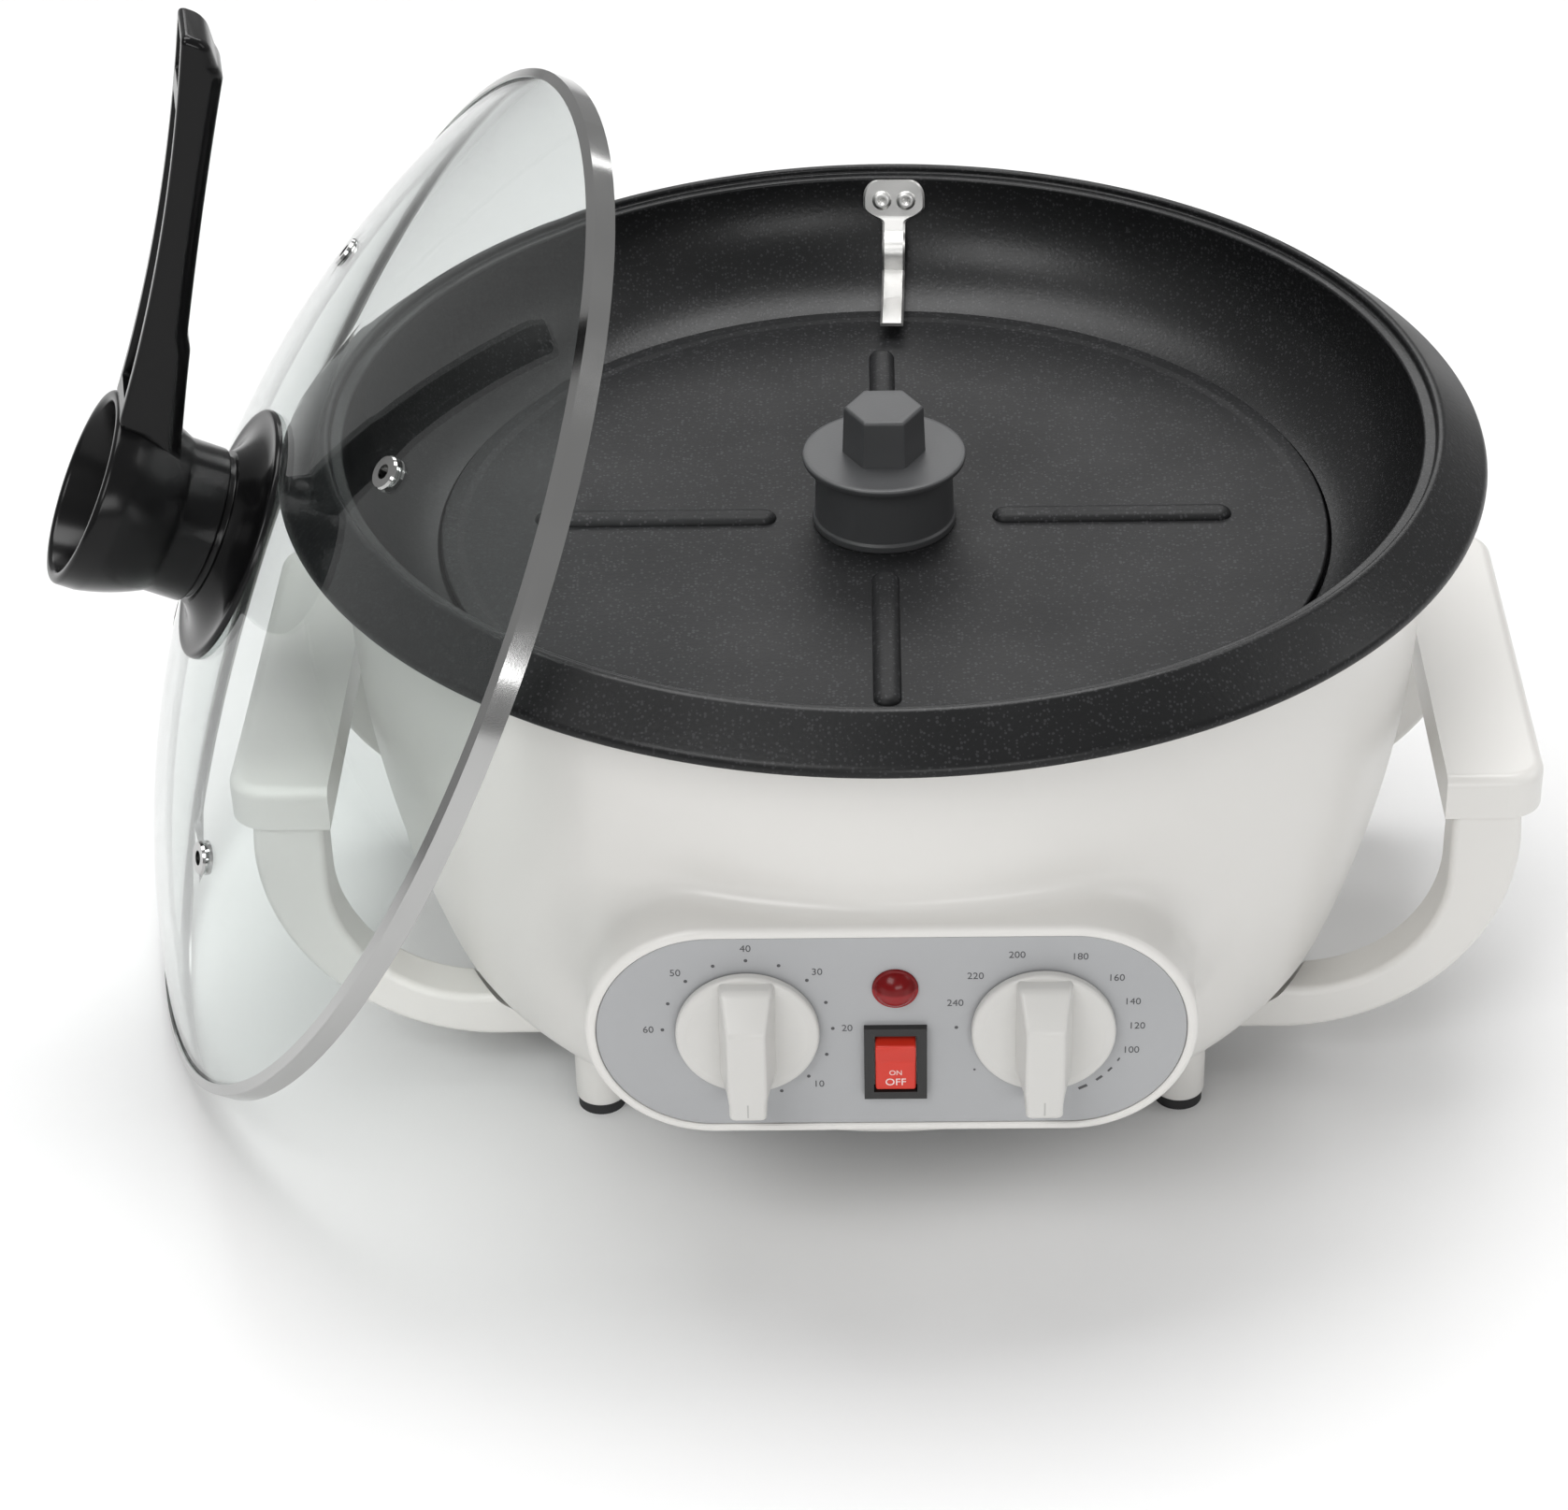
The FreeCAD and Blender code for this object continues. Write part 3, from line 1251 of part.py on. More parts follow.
switch = new_body("switch_case")
case = sketch_on(switch, "XY_Plane", "-switch_body_depth")
rectangle(case, "(switch_body_width / 2)", "(switch_body_height / 2)")
padded(switch, case, "switch_body_depth")
bezel = sketch_on(switch, "XY_Plane")
rectangle(bezel, "(bezel_width / 2)", "(bezel_height / 2)")
padded(switch, bezel, "bezel_thickness")
well = sketch_on(switch, "XY_Plane", "bezel_thickness")
rectangle(well, "(rocker_width / 2 + rocker_side_gap)", ROCKER_REACH)
padded(switch, well, "pivot_depth + rocker_half_height + rocker_end_gap", cut=True, back=True)
node(on_fascia(switch, "controls_shift", SWITCH_HEIGHT), "switch_body")

rocker = new_body("rocker")
profile = sketch_on(rocker, "YZ_Plane", "-rocker_width / 2")
outline(profile, [
    ("0", "-rocker_half_height", "rocker_half_height"),
    ("rocker_half_height", "0", "rocker_half_height"),
    ("rocker_half_height", "rocker_height"),
    ("0", "rocker_height - rocker_dip"),
    ("-rocker_half_height", "rocker_height"),
    ("-rocker_half_height", "0"),
])
padded(rocker, profile, "rocker_width")
on_fascia(rocker, "controls_shift", SWITCH_HEIGHT, value("rocker_tilt"), "bezel_thickness - pivot_depth")
node(rocker, "switch_rocker")


# ---- Lid: domed glass in a steel band, drawn rim down and then stood against the flange ----
def glass_outside(radius):
    return f"(lid_height - {GLASS_ROUND} + sqrt({GLASS_ROUND}^2 - ({radius})^2))"


def glass_inside(radius):
    return f"(lid_height - {GLASS_ROUND} + sqrt(({GLASS_ROUND} - glass_thickness)^2 - ({radius})^2))"


BAND_INNER = "(lid_radius - band_grip)"
BAND_FOOT = f"({glass_inside(GLASS_RADIUS)} - glass_gap - band_sheet)"
BAND_TOP = f"({glass_outside(GLASS_RADIUS)} + glass_gap)"
WASHER_UNDER = f"({glass_inside('washer_radius')} - washer_thickness)"


def lid_placement():
    """The lid's rim stands on the table, and the inside of its glass leans on the pan's flange."""
    lean = math.radians(value("lid_lean"))
    turn = math.radians(value("lid_turn"))
    bearing = math.radians(value("lid_touch_bearing"))
    outward = Vector(-math.cos(lean) * math.cos(turn), -math.cos(lean) * math.sin(turn), math.sin(lean))
    rim_height = (value("lid_radius") * math.cos(lean) - value(BAND_FOOT) * math.sin(lean)
                  + value("lid_table_gap"))
    to_ball = value(f"lid_height - {GLASS_ROUND}")
    ball_height = rim_height + to_ball * outward.z
    inner_ball = value(f"{GLASS_ROUND} - glass_thickness - lid_flange_gap")
    drop = value("rim_height - flange_drop") - ball_height
    ball_offset = math.sqrt(inner_ball ** 2 - drop ** 2) - value(FLANGE_RADIUS)
    ball = Vector(-math.cos(bearing), -math.sin(bearing), 0) * ball_offset
    rim_centre = ball - Vector(outward.x, outward.y, 0) * to_ball
    rim_centre.z = rim_height
    return Placement(rim_centre, Rotation(value("lid_turn"), value("lid_lean") - 90, 0))


def stood(thing, label):
    """Stands a finished piece of the lid where the lid leans."""
    thing.Placement = lid_placement() * thing.Placement
    return node(thing, label)


glass = new_body("glass_dome")
revolved(glass, [
    ("lid_hole_radius", glass_inside("lid_hole_radius")),
    (GLASS_RADIUS, glass_inside(GLASS_RADIUS), f"-({GLASS_ROUND} - glass_thickness)"),
    (GLASS_RADIUS, glass_outside(GLASS_RADIUS)),
    ("lid_hole_radius", glass_outside("lid_hole_radius"), GLASS_ROUND),
])


def vent_frame(turn):
    """The place of a vent on the dome: its Z points out of the glass."""
    lean = math.degrees(math.asin(value(f"vent_place / {GLASS_ROUND}")))
    spot = Vector(value("vent_place"), 0, value(glass_outside("vent_place")))
    around_lid = Placement(Vector(), Rotation(Vector(0, 0, 1), turn))
    return around_lid * Placement(spot, Rotation(Vector(0, 1, 0), lean))


eyelets = []
vent_holes = []
for turn in (45, 135, 225, 315):
    eyelet = new_body("eyelet")
    inside = "0 - glass_thickness - glass_gap"
    revolved(eyelet, [
        ("vent_bore", f"{inside} - vent_flange"),
        ("vent_flange_radius", f"{inside} - vent_flange"),
        ("vent_flange_radius", inside),
        ("vent_barrel_radius", inside),
        ("vent_barrel_radius", "glass_gap"),
        ("vent_flange_radius", "glass_gap"),
        ("vent_flange_radius - vent_flange / 2", "glass_gap + vent_flange"),
        ("vent_bore", "glass_gap + vent_flange"),
    ])
    eyelet.Placement = vent_frame(turn)
    eyelets.append(eyelet)
    hole = bind(doc.addObject("Part::Cylinder", "vent_hole"), Radius="vent_barrel_radius + glass_gap",
                Height="3 * glass_thickness")
    hole.Placement = vent_frame(turn) * Placement(Vector(0, 0, -value("2 * glass_thickness")), Rotation())
    vent_holes.append(hole)
stood(cut_from("glass_drilled", glass, grouped("vent_holes", vent_holes)), "lid_glass")
stood(grouped("eyelet_set", eyelets), "vent_eyelets")

band = new_body("steel_band")
revolved(band, [
    ("lid_radius", BAND_FOOT),
    ("lid_radius", f"{BAND_TOP} + band_sheet"),
    (BAND_INNER, f"{glass_outside(BAND_INNER)} + glass_gap + band_sheet"),
    (BAND_INNER, f"{glass_outside(BAND_INNER)} + glass_gap"),
    ("lid_radius - band_sheet", BAND_TOP),
    ("lid_radius - band_sheet", f"{BAND_FOOT} + band_sheet"),
    (BAND_INNER, f"{BAND_FOOT} + band_sheet"),
    (BAND_INNER, BAND_FOOT),
])
stood(band, "lid_band")


# ---- Lid handle: a flared foot, a grooved neck, a hollow cup and a channelled arm with a scooped tip ----
FOOT_RIM = f"({glass_outside('handle_foot_radius')} + glass_gap)"
FLARE_START = f"({FOOT_RIM} + handle_foot_edge)"
GROOVE_FOOT = f"({FLARE_START} + handle_flare_height)"
GROOVE_TOP = f"({GROOVE_FOOT} + handle_groove_width)"
ARM_RISE = "((arm_tip_inner - arm_root_inner) / (arm_tip_bend - arm_root))"


def arm_inner_edge(up):
    return f"(arm_root_inner + ({up} - arm_root) * {ARM_RISE})"


handle = new_body("lid_handle_body")
revolved(handle, [
    ("lid_screw_radius", f"{glass_outside('lid_screw_radius')} + glass_gap"),
    ("handle_foot_radius", FOOT_RIM, f"-({GLASS_ROUND} + glass_gap)"),
    ("handle_foot_radius", FLARE_START),
    ("handle_neck_radius", GROOVE_FOOT, "-handle_flare_round"),
    ("handle_neck_radius - handle_groove_depth", GROOVE_FOOT),
    ("handle_neck_radius - handle_groove_depth", GROOVE_TOP),
    ("handle_neck_radius", GROOVE_TOP),
    ("handle_neck_radius", "handle_neck_top"),
    ("cup_radius", "(handle_neck_top + cup_flare_height)", "cup_flare_round"),
    ("cup_radius", "cup_height"),
    ("0", "cup_height"),
    ("0", f"{WASHER_UNDER} + lid_screw_length + hole_clearance"),
    ("lid_screw_radius", f"{WASHER_UNDER} + lid_screw_length + hole_clearance"),
])
blade = sketch_on(handle, "XZ_Plane", "-arm_blade_width / 2")
outline(blade, [
    ("arm_root", "arm_root_inner"),
    ("arm_tip_bend", "arm_tip_inner"),
    ("arm_tip", "arm_tip_outer", "arm_tip_round"),
    ("arm_tip - scoop_length", "scoop_floor", "-scoop_round"),
    ("arm_tip - scoop_length", "scoop_floor + scoop_step"),
    ("arm_root", "arm_root_outer", "-arm_curve"),
])
padded(handle, blade, "arm_blade_width")


def blade_edge(edge):
    """Picks the long side edges of the arm, beyond the cup."""
    box = edge.BoundBox
    at_side = abs(abs(box.Center.y) - value("arm_blade_width / 2")) < NEAR
    return at_side and box.YMax - box.YMin < NEAR and box.XMax > value("cup_radius") + APART


rounded(handle, "blade_round", blade_edge)
channel = sketch_on(handle, "XZ_Plane", "arm_channel_wall - arm_blade_width / 2")
channel_start = "(cup_radius + arm_channel_inset)"
channel_end = "(arm_tip - arm_spoon_length)"
outline(channel, [
    (channel_start, f"{arm_inner_edge(channel_start)} + arm_channel_floor"),
    (channel_end, f"{arm_inner_edge(channel_end)} + arm_channel_floor"),
    (channel_end, "arm_tip_outer + arm_channel_floor"),
    (channel_start, "arm_tip_outer + arm_channel_floor"),
])
padded(handle, channel, "arm_blade_width - 2 * arm_channel_wall", cut=True)
revolved(handle, [
    ("cup_radius - cup_wall - cup_draft", "cup_floor"),
    ("cup_radius - cup_wall", "cup_height"),
    ("cup_radius - cup_wall", "cup_height + cup_wall"),
    ("0", "cup_height + cup_wall"),
    ("0", "cup_floor"),
], cut=True)
stood(handle, "lid_handle")

washer = new_body("washer")
revolved(washer, [
    ("lid_screw_radius", WASHER_UNDER),
    ("washer_radius", WASHER_UNDER),
    ("washer_radius", glass_inside("washer_radius")),
    ("lid_screw_radius", glass_inside("washer_radius")),
])
stood(washer, "lid_washer")
screw_head = cylinder("lid_screw_head", "lid_screw_head_radius", "lid_screw_head_height",
                      up=f"{WASHER_UNDER} - lid_screw_head_height")
screw_shank = cylinder("lid_screw_shank", "lid_screw_radius", "lid_screw_head_height + lid_screw_length",
                       up=f"{WASHER_UNDER} - lid_screw_head_height")
stood(merged("lid_screw_body", [screw_head, screw_shank]), "lid_screw")


# ---- What the script hands over ----
doc.recompute()
os.makedirs("parts", exist_ok=True)
for thing in doc.Objects:
    if "Invalid" in thing.State or "Error" in thing.State:
        raise RuntimeError("%s (%s) did not build" % (thing.Label, thing.Name))
for thing in finished:
    if thing.Shape.isNull() or not thing.Shape.isValid():
        raise RuntimeError("%s has no valid shape" % thing.Label)
for thing in finished:
    thing.Shape.exportStep("parts/%s.step" % thing.Label)
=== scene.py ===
import math

import bpy
from mathutils import Matrix, Vector


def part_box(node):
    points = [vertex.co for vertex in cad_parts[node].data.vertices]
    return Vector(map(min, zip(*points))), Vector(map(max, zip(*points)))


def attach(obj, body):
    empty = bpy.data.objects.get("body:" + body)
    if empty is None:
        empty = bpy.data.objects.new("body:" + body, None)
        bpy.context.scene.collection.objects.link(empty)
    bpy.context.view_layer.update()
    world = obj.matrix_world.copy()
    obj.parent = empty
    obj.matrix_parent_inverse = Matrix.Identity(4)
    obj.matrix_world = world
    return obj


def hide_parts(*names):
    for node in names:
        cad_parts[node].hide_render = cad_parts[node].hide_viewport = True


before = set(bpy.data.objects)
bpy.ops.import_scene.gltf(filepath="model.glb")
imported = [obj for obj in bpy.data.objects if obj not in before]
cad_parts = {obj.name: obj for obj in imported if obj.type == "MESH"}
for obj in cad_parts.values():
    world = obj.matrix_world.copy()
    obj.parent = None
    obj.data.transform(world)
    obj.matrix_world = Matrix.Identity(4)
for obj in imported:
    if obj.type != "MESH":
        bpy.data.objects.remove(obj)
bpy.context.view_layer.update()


# ---- The worktop, the softboxes and the camera ----
# A plain pale worktop under a large overhead softbox, with smaller ones at the front, the right
# and the back. The camera looks down on the roaster from the front.
pan_middle = Vector((0, 0, 0.12))


def softbox(name, place, width, height, power):
    """A softbox that looks at the pan and that the camera doesn't see."""
    lamp = bpy.data.lights.new(name, "AREA")
    lamp.shape = "RECTANGLE"
    lamp.size = width
    lamp.size_y = height
    lamp.energy = power
    back = (Vector(place) - pan_middle).normalized()
    right = Vector((0, 0, 1)).cross(back).normalized()
    turn = Matrix((right, back.cross(right), back)).transposed().to_4x4()
    box = bpy.data.objects.new(name, lamp)
    box.matrix_world = Matrix.Translation(place) @ turn
    box.visible_camera = False
    bpy.context.scene.collection.objects.link(box)


softbox("overhead softbox", (-0.1, 0.35, 1.7), 1.5, 0.8, 24)
softbox("front left softbox", (-0.9, -1.5, 1.75), 1.2, 1.0, 19)
softbox("front right softbox", (0.6, -2.1, 0.65), 1.2, 0.5, 9)
softbox("right softbox", (1.9, 0.1, 1.3), 0.8, 1.0, 5)
softbox("back softbox", (0.1, 2.0, 1.45), 1.6, 0.7, 10)

air = bpy.data.worlds.new("studio air")
air.use_nodes = True
air.node_tree.nodes["Background"].inputs["Color"].default_value = (1, 1, 1, 1)
air.node_tree.nodes["Background"].inputs["Strength"].default_value = 0.37
bpy.context.scene.world = air
bpy.context.scene.view_settings.view_transform = "Standard"

camera_data = bpy.data.cameras.new("camera")
camera_data.sensor_width = 36
camera_data.lens = 94.92
camera_data.clip_start = 0.05
camera_data.clip_end = 50
camera = bpy.data.objects.new("camera", camera_data)
bpy.context.scene.collection.objects.link(camera)
camera_place = Vector((-0.00502, -0.92735, 0.6834))
camera_right = Vector((0.99975, 0.01126, -0.01944))
camera_up = Vector((0.00990, 0.55611, 0.83105))
camera_turn = Matrix((camera_right, camera_up, camera_right.cross(camera_up))).transposed()
camera.matrix_world = Matrix.Translation(camera_place) @ camera_turn.to_4x4()
bpy.context.scene.camera = camera

worktop_reach = 5.0
worktop_mesh = bpy.data.meshes.new("worktop")
square = [(-1, -1), (1, -1), (1, 1), (-1, 1)]
worktop_mesh.from_pydata([(x * worktop_reach, y * worktop_reach, 0) for x, y in square],
                         [], [(0, 1, 2, 3)])
worktop = bpy.data.objects.new("worktop", worktop_mesh)
bpy.context.scene.collection.objects.link(worktop)


def finish(name, colour, roughness, **sockets):
    """A material whose even values sit on its Principled shader's own sockets."""
    material = bpy.data.materials.new(name)
    material.use_nodes = True
    shader = material.node_tree.nodes["Principled BSDF"]
    shader.inputs["Base Color"].default_value = (*colour, 1)
    shader.inputs["Roughness"].default_value = roughness
    for socket, number in sockets.items():
        shader.inputs[socket.replace("_", " ")].default_value = number
    return material


worktop_mesh.materials.append(finish("worktop paint", (0.8, 0.8, 0.8), 0.7))


# ---- Housing ----
# One injection moulded bowl of warm white plastic, 2.5 mm thick, with a flat bottom, a slot-shaped
# control boss blended into its front and four short legs. Its surface has a soft gloss, with the
# faint grain and sink that moulding leaves.
def shader_group(name, inputs, output):
    """A new node group that takes coordinates and named numbers, and puts out one number."""
    group = bpy.data.node_groups.new(name, "ShaderNodeTree")
    group.interface.new_socket("Place", in_out="INPUT", socket_type="NodeSocketVector")
    for label, usual in inputs.items():
        socket = group.interface.new_socket(label, in_out="INPUT", socket_type="NodeSocketFloat")
        socket.default_value = usual
    group.interface.new_socket(output, in_out="OUTPUT", socket_type="NodeSocketFloat")
    return group, group.nodes.new("NodeGroupInput").outputs, group.nodes.new("NodeGroupOutput").inputs


def step(tree, kind, feeds, **settings):
    """A node with its settings, its numbers and the outputs that feed it. Returns its outputs."""
    node = tree.nodes.new(kind)
    for name, setting in settings.items():
        setattr(node, name, setting)
    for socket, source in feeds.items():
        if isinstance(source, bpy.types.NodeSocket):
            tree.links.new(source, node.inputs[socket])
        else:
            node.inputs[socket].default_value = source
    return node.outputs


def cloud(group, given, scale, detail):
    """Soft noise on the piece's coordinates, from 0 to 1."""
    noise = step(group, "ShaderNodeTexNoise", {"Vector": given["Place"], "Scale": given[scale],
                                               "Detail": detail})
    return noise["Fac"]


def drift_group(name, detail, least, most):
    """A number that drifts between two others in soft patches."""
    group, given, result = shader_group(
        name, {"Patches": 15, "Least": least, "Most": most}, "Number")
    spread = step(group, "ShaderNodeMapRange", {
        "Value": cloud(group, given, "Patches", detail), "From Min": 0.2, "From Max": 0.8,
        "To Min": given["Least"], "To Max": given["Most"]}, interpolation_type="SMOOTHSTEP")
    group.links.new(spread["Result"], result["Number"])
    return group


uneven_gloss = drift_group("uneven gloss", 3, 0.2, 0.3)
colour_drift = drift_group("colour drift", 2, 0, 1)
mould_grain, grain_given, grain_result = shader_group("mould grain", {"Grain": 1500}, "Height")
mould_grain.links.new(cloud(mould_grain, grain_given, "Grain", 2), grain_result["Height"])


def effect(material, group, **values):
    """Places a shared effect in a material, on the piece's own coordinates. Returns its output."""
    tree = material.node_tree
    places = tree.nodes.get("piece coordinates")
    if places is None:
        places = tree.nodes.new("ShaderNodeTexCoord")
        places.name = "piece coordinates"
    node = tree.nodes.new("ShaderNodeGroup")
    node.node_tree = group
    tree.links.new(places.outputs["Object"], node.inputs["Place"])
    for label, number in values.items():
        node.inputs[label].default_value = number
    return node.outputs[0]


def feed(material, output, socket):
    """Feeds a socket of the material's own shader."""
    tree = material.node_tree
    tree.links.new(output, tree.nodes["Principled BSDF"].inputs[socket])


def glossed(material, patches, least, most):
    """Feeds the roughness, which drifts between two values in patches."""
    feed(material, effect(material, uneven_gloss, Patches=patches, Least=least, Most=most), "Roughness")


def grained(material, grain, depth):
    """Feeds the normal with fine grain. The depth is in metres, from its lowest to its highest."""
    height = effect(material, mould_grain, Grain=grain)
    bump = step(material.node_tree, "ShaderNodeBump", {"Height": height, "Distance": depth})
    feed(material, bump["Normal"], "Normal")


def tinted(material, mask, low, high):
    """Base colour that runs from one colour to another with a mask."""
    blend = material.node_tree.nodes.new("ShaderNodeMix")
    blend.data_type = "RGBA"
    material.node_tree.links.new(mask, blend.inputs[0])
    blend.inputs[6].default_value = (*low, 1)
    blend.inputs[7].default_value = (*high, 1)
    feed(material, blend.outputs[2], "Base Color")


def drifted(material, patches, low, high):
    """Base colour that drifts between two colours in patches."""
    tinted(material, effect(material, colour_drift, Patches=patches), low, high)


def surfaced(name, colour, least, most, patches, grain, grain_depth, **sockets):
    """A material whose gloss drifts in patches over fine grain."""
    material = finish(name, colour, (least + most) / 2, **sockets)
    glossed(material, patches, least, most)
    grained(material, grain, grain_depth)
    return material


def moulded(name, colour, least, most, grain_depth, **sockets):
    """Moulded plastic: a slightly drifting colour and gloss over fine grain."""
    material = surfaced(name, colour, least, most, 18, 1600, grain_depth, **sockets)
    drifted(material, 7, [0.97 * part for part in colour], colour)
    return material


def evenly(low, high, count):
    """Numbers from low to high, in even steps."""
    return [low + (high - low) * part / count for part in range(count + 1)]


def circle(radius, steps):
    """Points around a circle, anticlockwise."""
    return [(radius * math.cos(turn), radius * math.sin(turn))
            for turn in evenly(0, math.tau, steps)[:-1]]


def arc_middle(start, end, radius):
    """The middle of an arc, on the left of its chord if the radius is positive."""
    chord = end - start
    left = Vector((-chord.y, chord.x)).normalized() * math.copysign(1, radius)
    return (start + end) / 2 + left * math.sqrt(radius ** 2 - (chord.length / 2) ** 2)


def arc(start, end, radius, count):
    """Points along an arc after its start, up to its end. It turns left if the radius is positive."""
    start, end = Vector(start), Vector(end)
    middle = arc_middle(start, end, radius)
    first, last = start - middle, end - middle
    turn = first.angle_signed(last)
    return [middle + Matrix.Rotation(-turn * share, 2) @ first for share in evenly(0, 1, count)[1:]]


def rounded(corners, count=6):
    """A closed outline whose corners are rounded where a third number gives the rounding."""
    outline = []
    for index, corner in enumerate(corners):
        here = Vector(corner[:2])
        if len(corner) == 2:
            outline.append(here)
            continue
        before = (Vector(corners[index - 1][:2]) - here).normalized()
        after = (Vector(corners[(index + 1) % len(corners)][:2]) - here).normalized()
        half = before.angle(after) / 2
        centre = here + (before + after).normalized() * corner[2] / math.sin(half)
        reach = corner[2] / math.tan(half)
        first, last = here + before * reach - centre, here + after * reach - centre
        outline += [centre + first.slerp(last, share) * corner[2] for share in evenly(0, 1, count)]
    return outline


def turned(outline, steps=192):
    """Points and faces of a closed outline of radius and height, spun about the Z axis."""
    points, faces, rings = [], [], []
    for radius, height in outline:
        if radius < 1e-7:
            rings.append([len(points)] * steps)
            points.append((0, 0, height))
            continue
        rings.append(list(range(len(points), len(points) + steps)))
        points += [(x, y, height) for x, y in circle(radius, steps)]
    for ring, following in zip(rings, rings[1:] + rings[:1]):
        faces += band_of_faces(ring, following)
    return points, faces


def band_of_faces(ring, following):
    """Faces between two closed rings of points. Where a ring is one point, they are triangles."""
    faces = []
    for index in range(len(ring)):
        after = (index + 1) % len(ring)
        corners = list(dict.fromkeys([ring[index], ring[after], following[after], following[index]]))
        if len(corners) > 2:
            faces.append(corners)
    return faces


def moved(place, shape):
    """Points and faces of a shape, moved by a matrix."""
    points, faces = shape
    return [place @ Vector(point) for point in points], faces


def joined(shapes):
    """Points and faces of several shapes as one."""
    points, faces = [], []
    for more_points, more_faces in shapes:
        faces += [[len(points) + number for number in face] for face in more_faces]
        points += more_points
    return points, faces


def piece(name, points, faces, material, body, slot, replaces, place=Matrix.Identity(4), sharp=32):
    """A finished piece of the roaster, in the place of the CAD nodes that it stands for."""
    mesh = bpy.data.meshes.new(name)
    mesh.from_pydata([tuple(point) for point in points], [], faces)
    mesh.validate()
    if sum(face.center.dot(face.normal) * face.area for face in mesh.polygons) < 0:
        mesh.flip_normals()
    mesh.polygons.foreach_set("use_smooth", [True] * len(mesh.polygons))
    mesh.set_sharp_from_angle(angle=math.radians(sharp))
    mesh.materials.append(material)
    made = bpy.data.objects.new(name, mesh)
    made.matrix_world = place
    bpy.context.scene.collection.objects.link(made)
    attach(made, body)
    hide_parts(*replaces)
    return made


bowl_top = (0.1415, 0.1661)
bowl_shoulder = (0.1386, 0.116)
bowl_foot = (0.1204, 0.0295)
bowl_flat = (0.1045, 0.023)
bowl_foot_top = 0.0355
bowl_foot_round = 0.0185
service_radius, floor_radius = 0.085, 0.098
bowl_side_radius = 0.293
wall_thickness = 0.0025

boss_half_length = 0.0731
boss_end_radius = 0.0304
boss_height = 0.081
boss_front = 0.146
boss_blend = 0.006
boss_end_blend = 0.009
boss_edge_round = 0.0016
fascia_border, fascia_lip = 0.0026, 0.0003
fascia_seat_depth, fascia_seat_width = 0.0017, 0.012

columns = 288
hole_columns = 34
hole_low, hole_high, hole_rows = 0.037, 0.126, 24
foot_rows, upper_rows, skirt_rows, blend_rows = 10, 10, 6, 8

side_middle = arc_middle(Vector(bowl_foot), Vector(bowl_shoulder), bowl_side_radius)
boss_straight = 2 * (boss_half_length - boss_end_radius)


def bowl_radius(height):
    """The outside radius of the bowl above its rounded foot."""
    if height > bowl_shoulder[1]:
        share = (height - bowl_shoulder[1]) / (bowl_top[1] - bowl_shoulder[1])
        return bowl_shoulder[0] + share * (bowl_top[0] - bowl_shoulder[0])
    return side_middle.x + math.sqrt(bowl_side_radius ** 2 - (height - side_middle.y) ** 2)


def on_bowl(across, up):
    """The point of the bowl's front that lies at a place across and up."""
    return Vector((across, -math.sqrt(bowl_radius(up) ** 2 - across ** 2), up))


def around_boss(distance):
    """A point of the boss's outline with its outward direction. The distance runs anticlockwise
    from the left end of the lower straight edge."""
    bend = math.pi * boss_end_radius
    distance %= 2 * (boss_straight + bend)
    side = 1 if distance < boss_straight + bend else -1
    distance -= 0 if side > 0 else boss_straight + bend
    across = min(distance, boss_straight) - boss_straight / 2
    angle = max(0, distance - boss_straight) / boss_end_radius - math.pi / 2
    out = side * Vector((math.cos(angle), math.sin(angle)))
    return Vector((side * across, boss_height)) + out * boss_end_radius, out


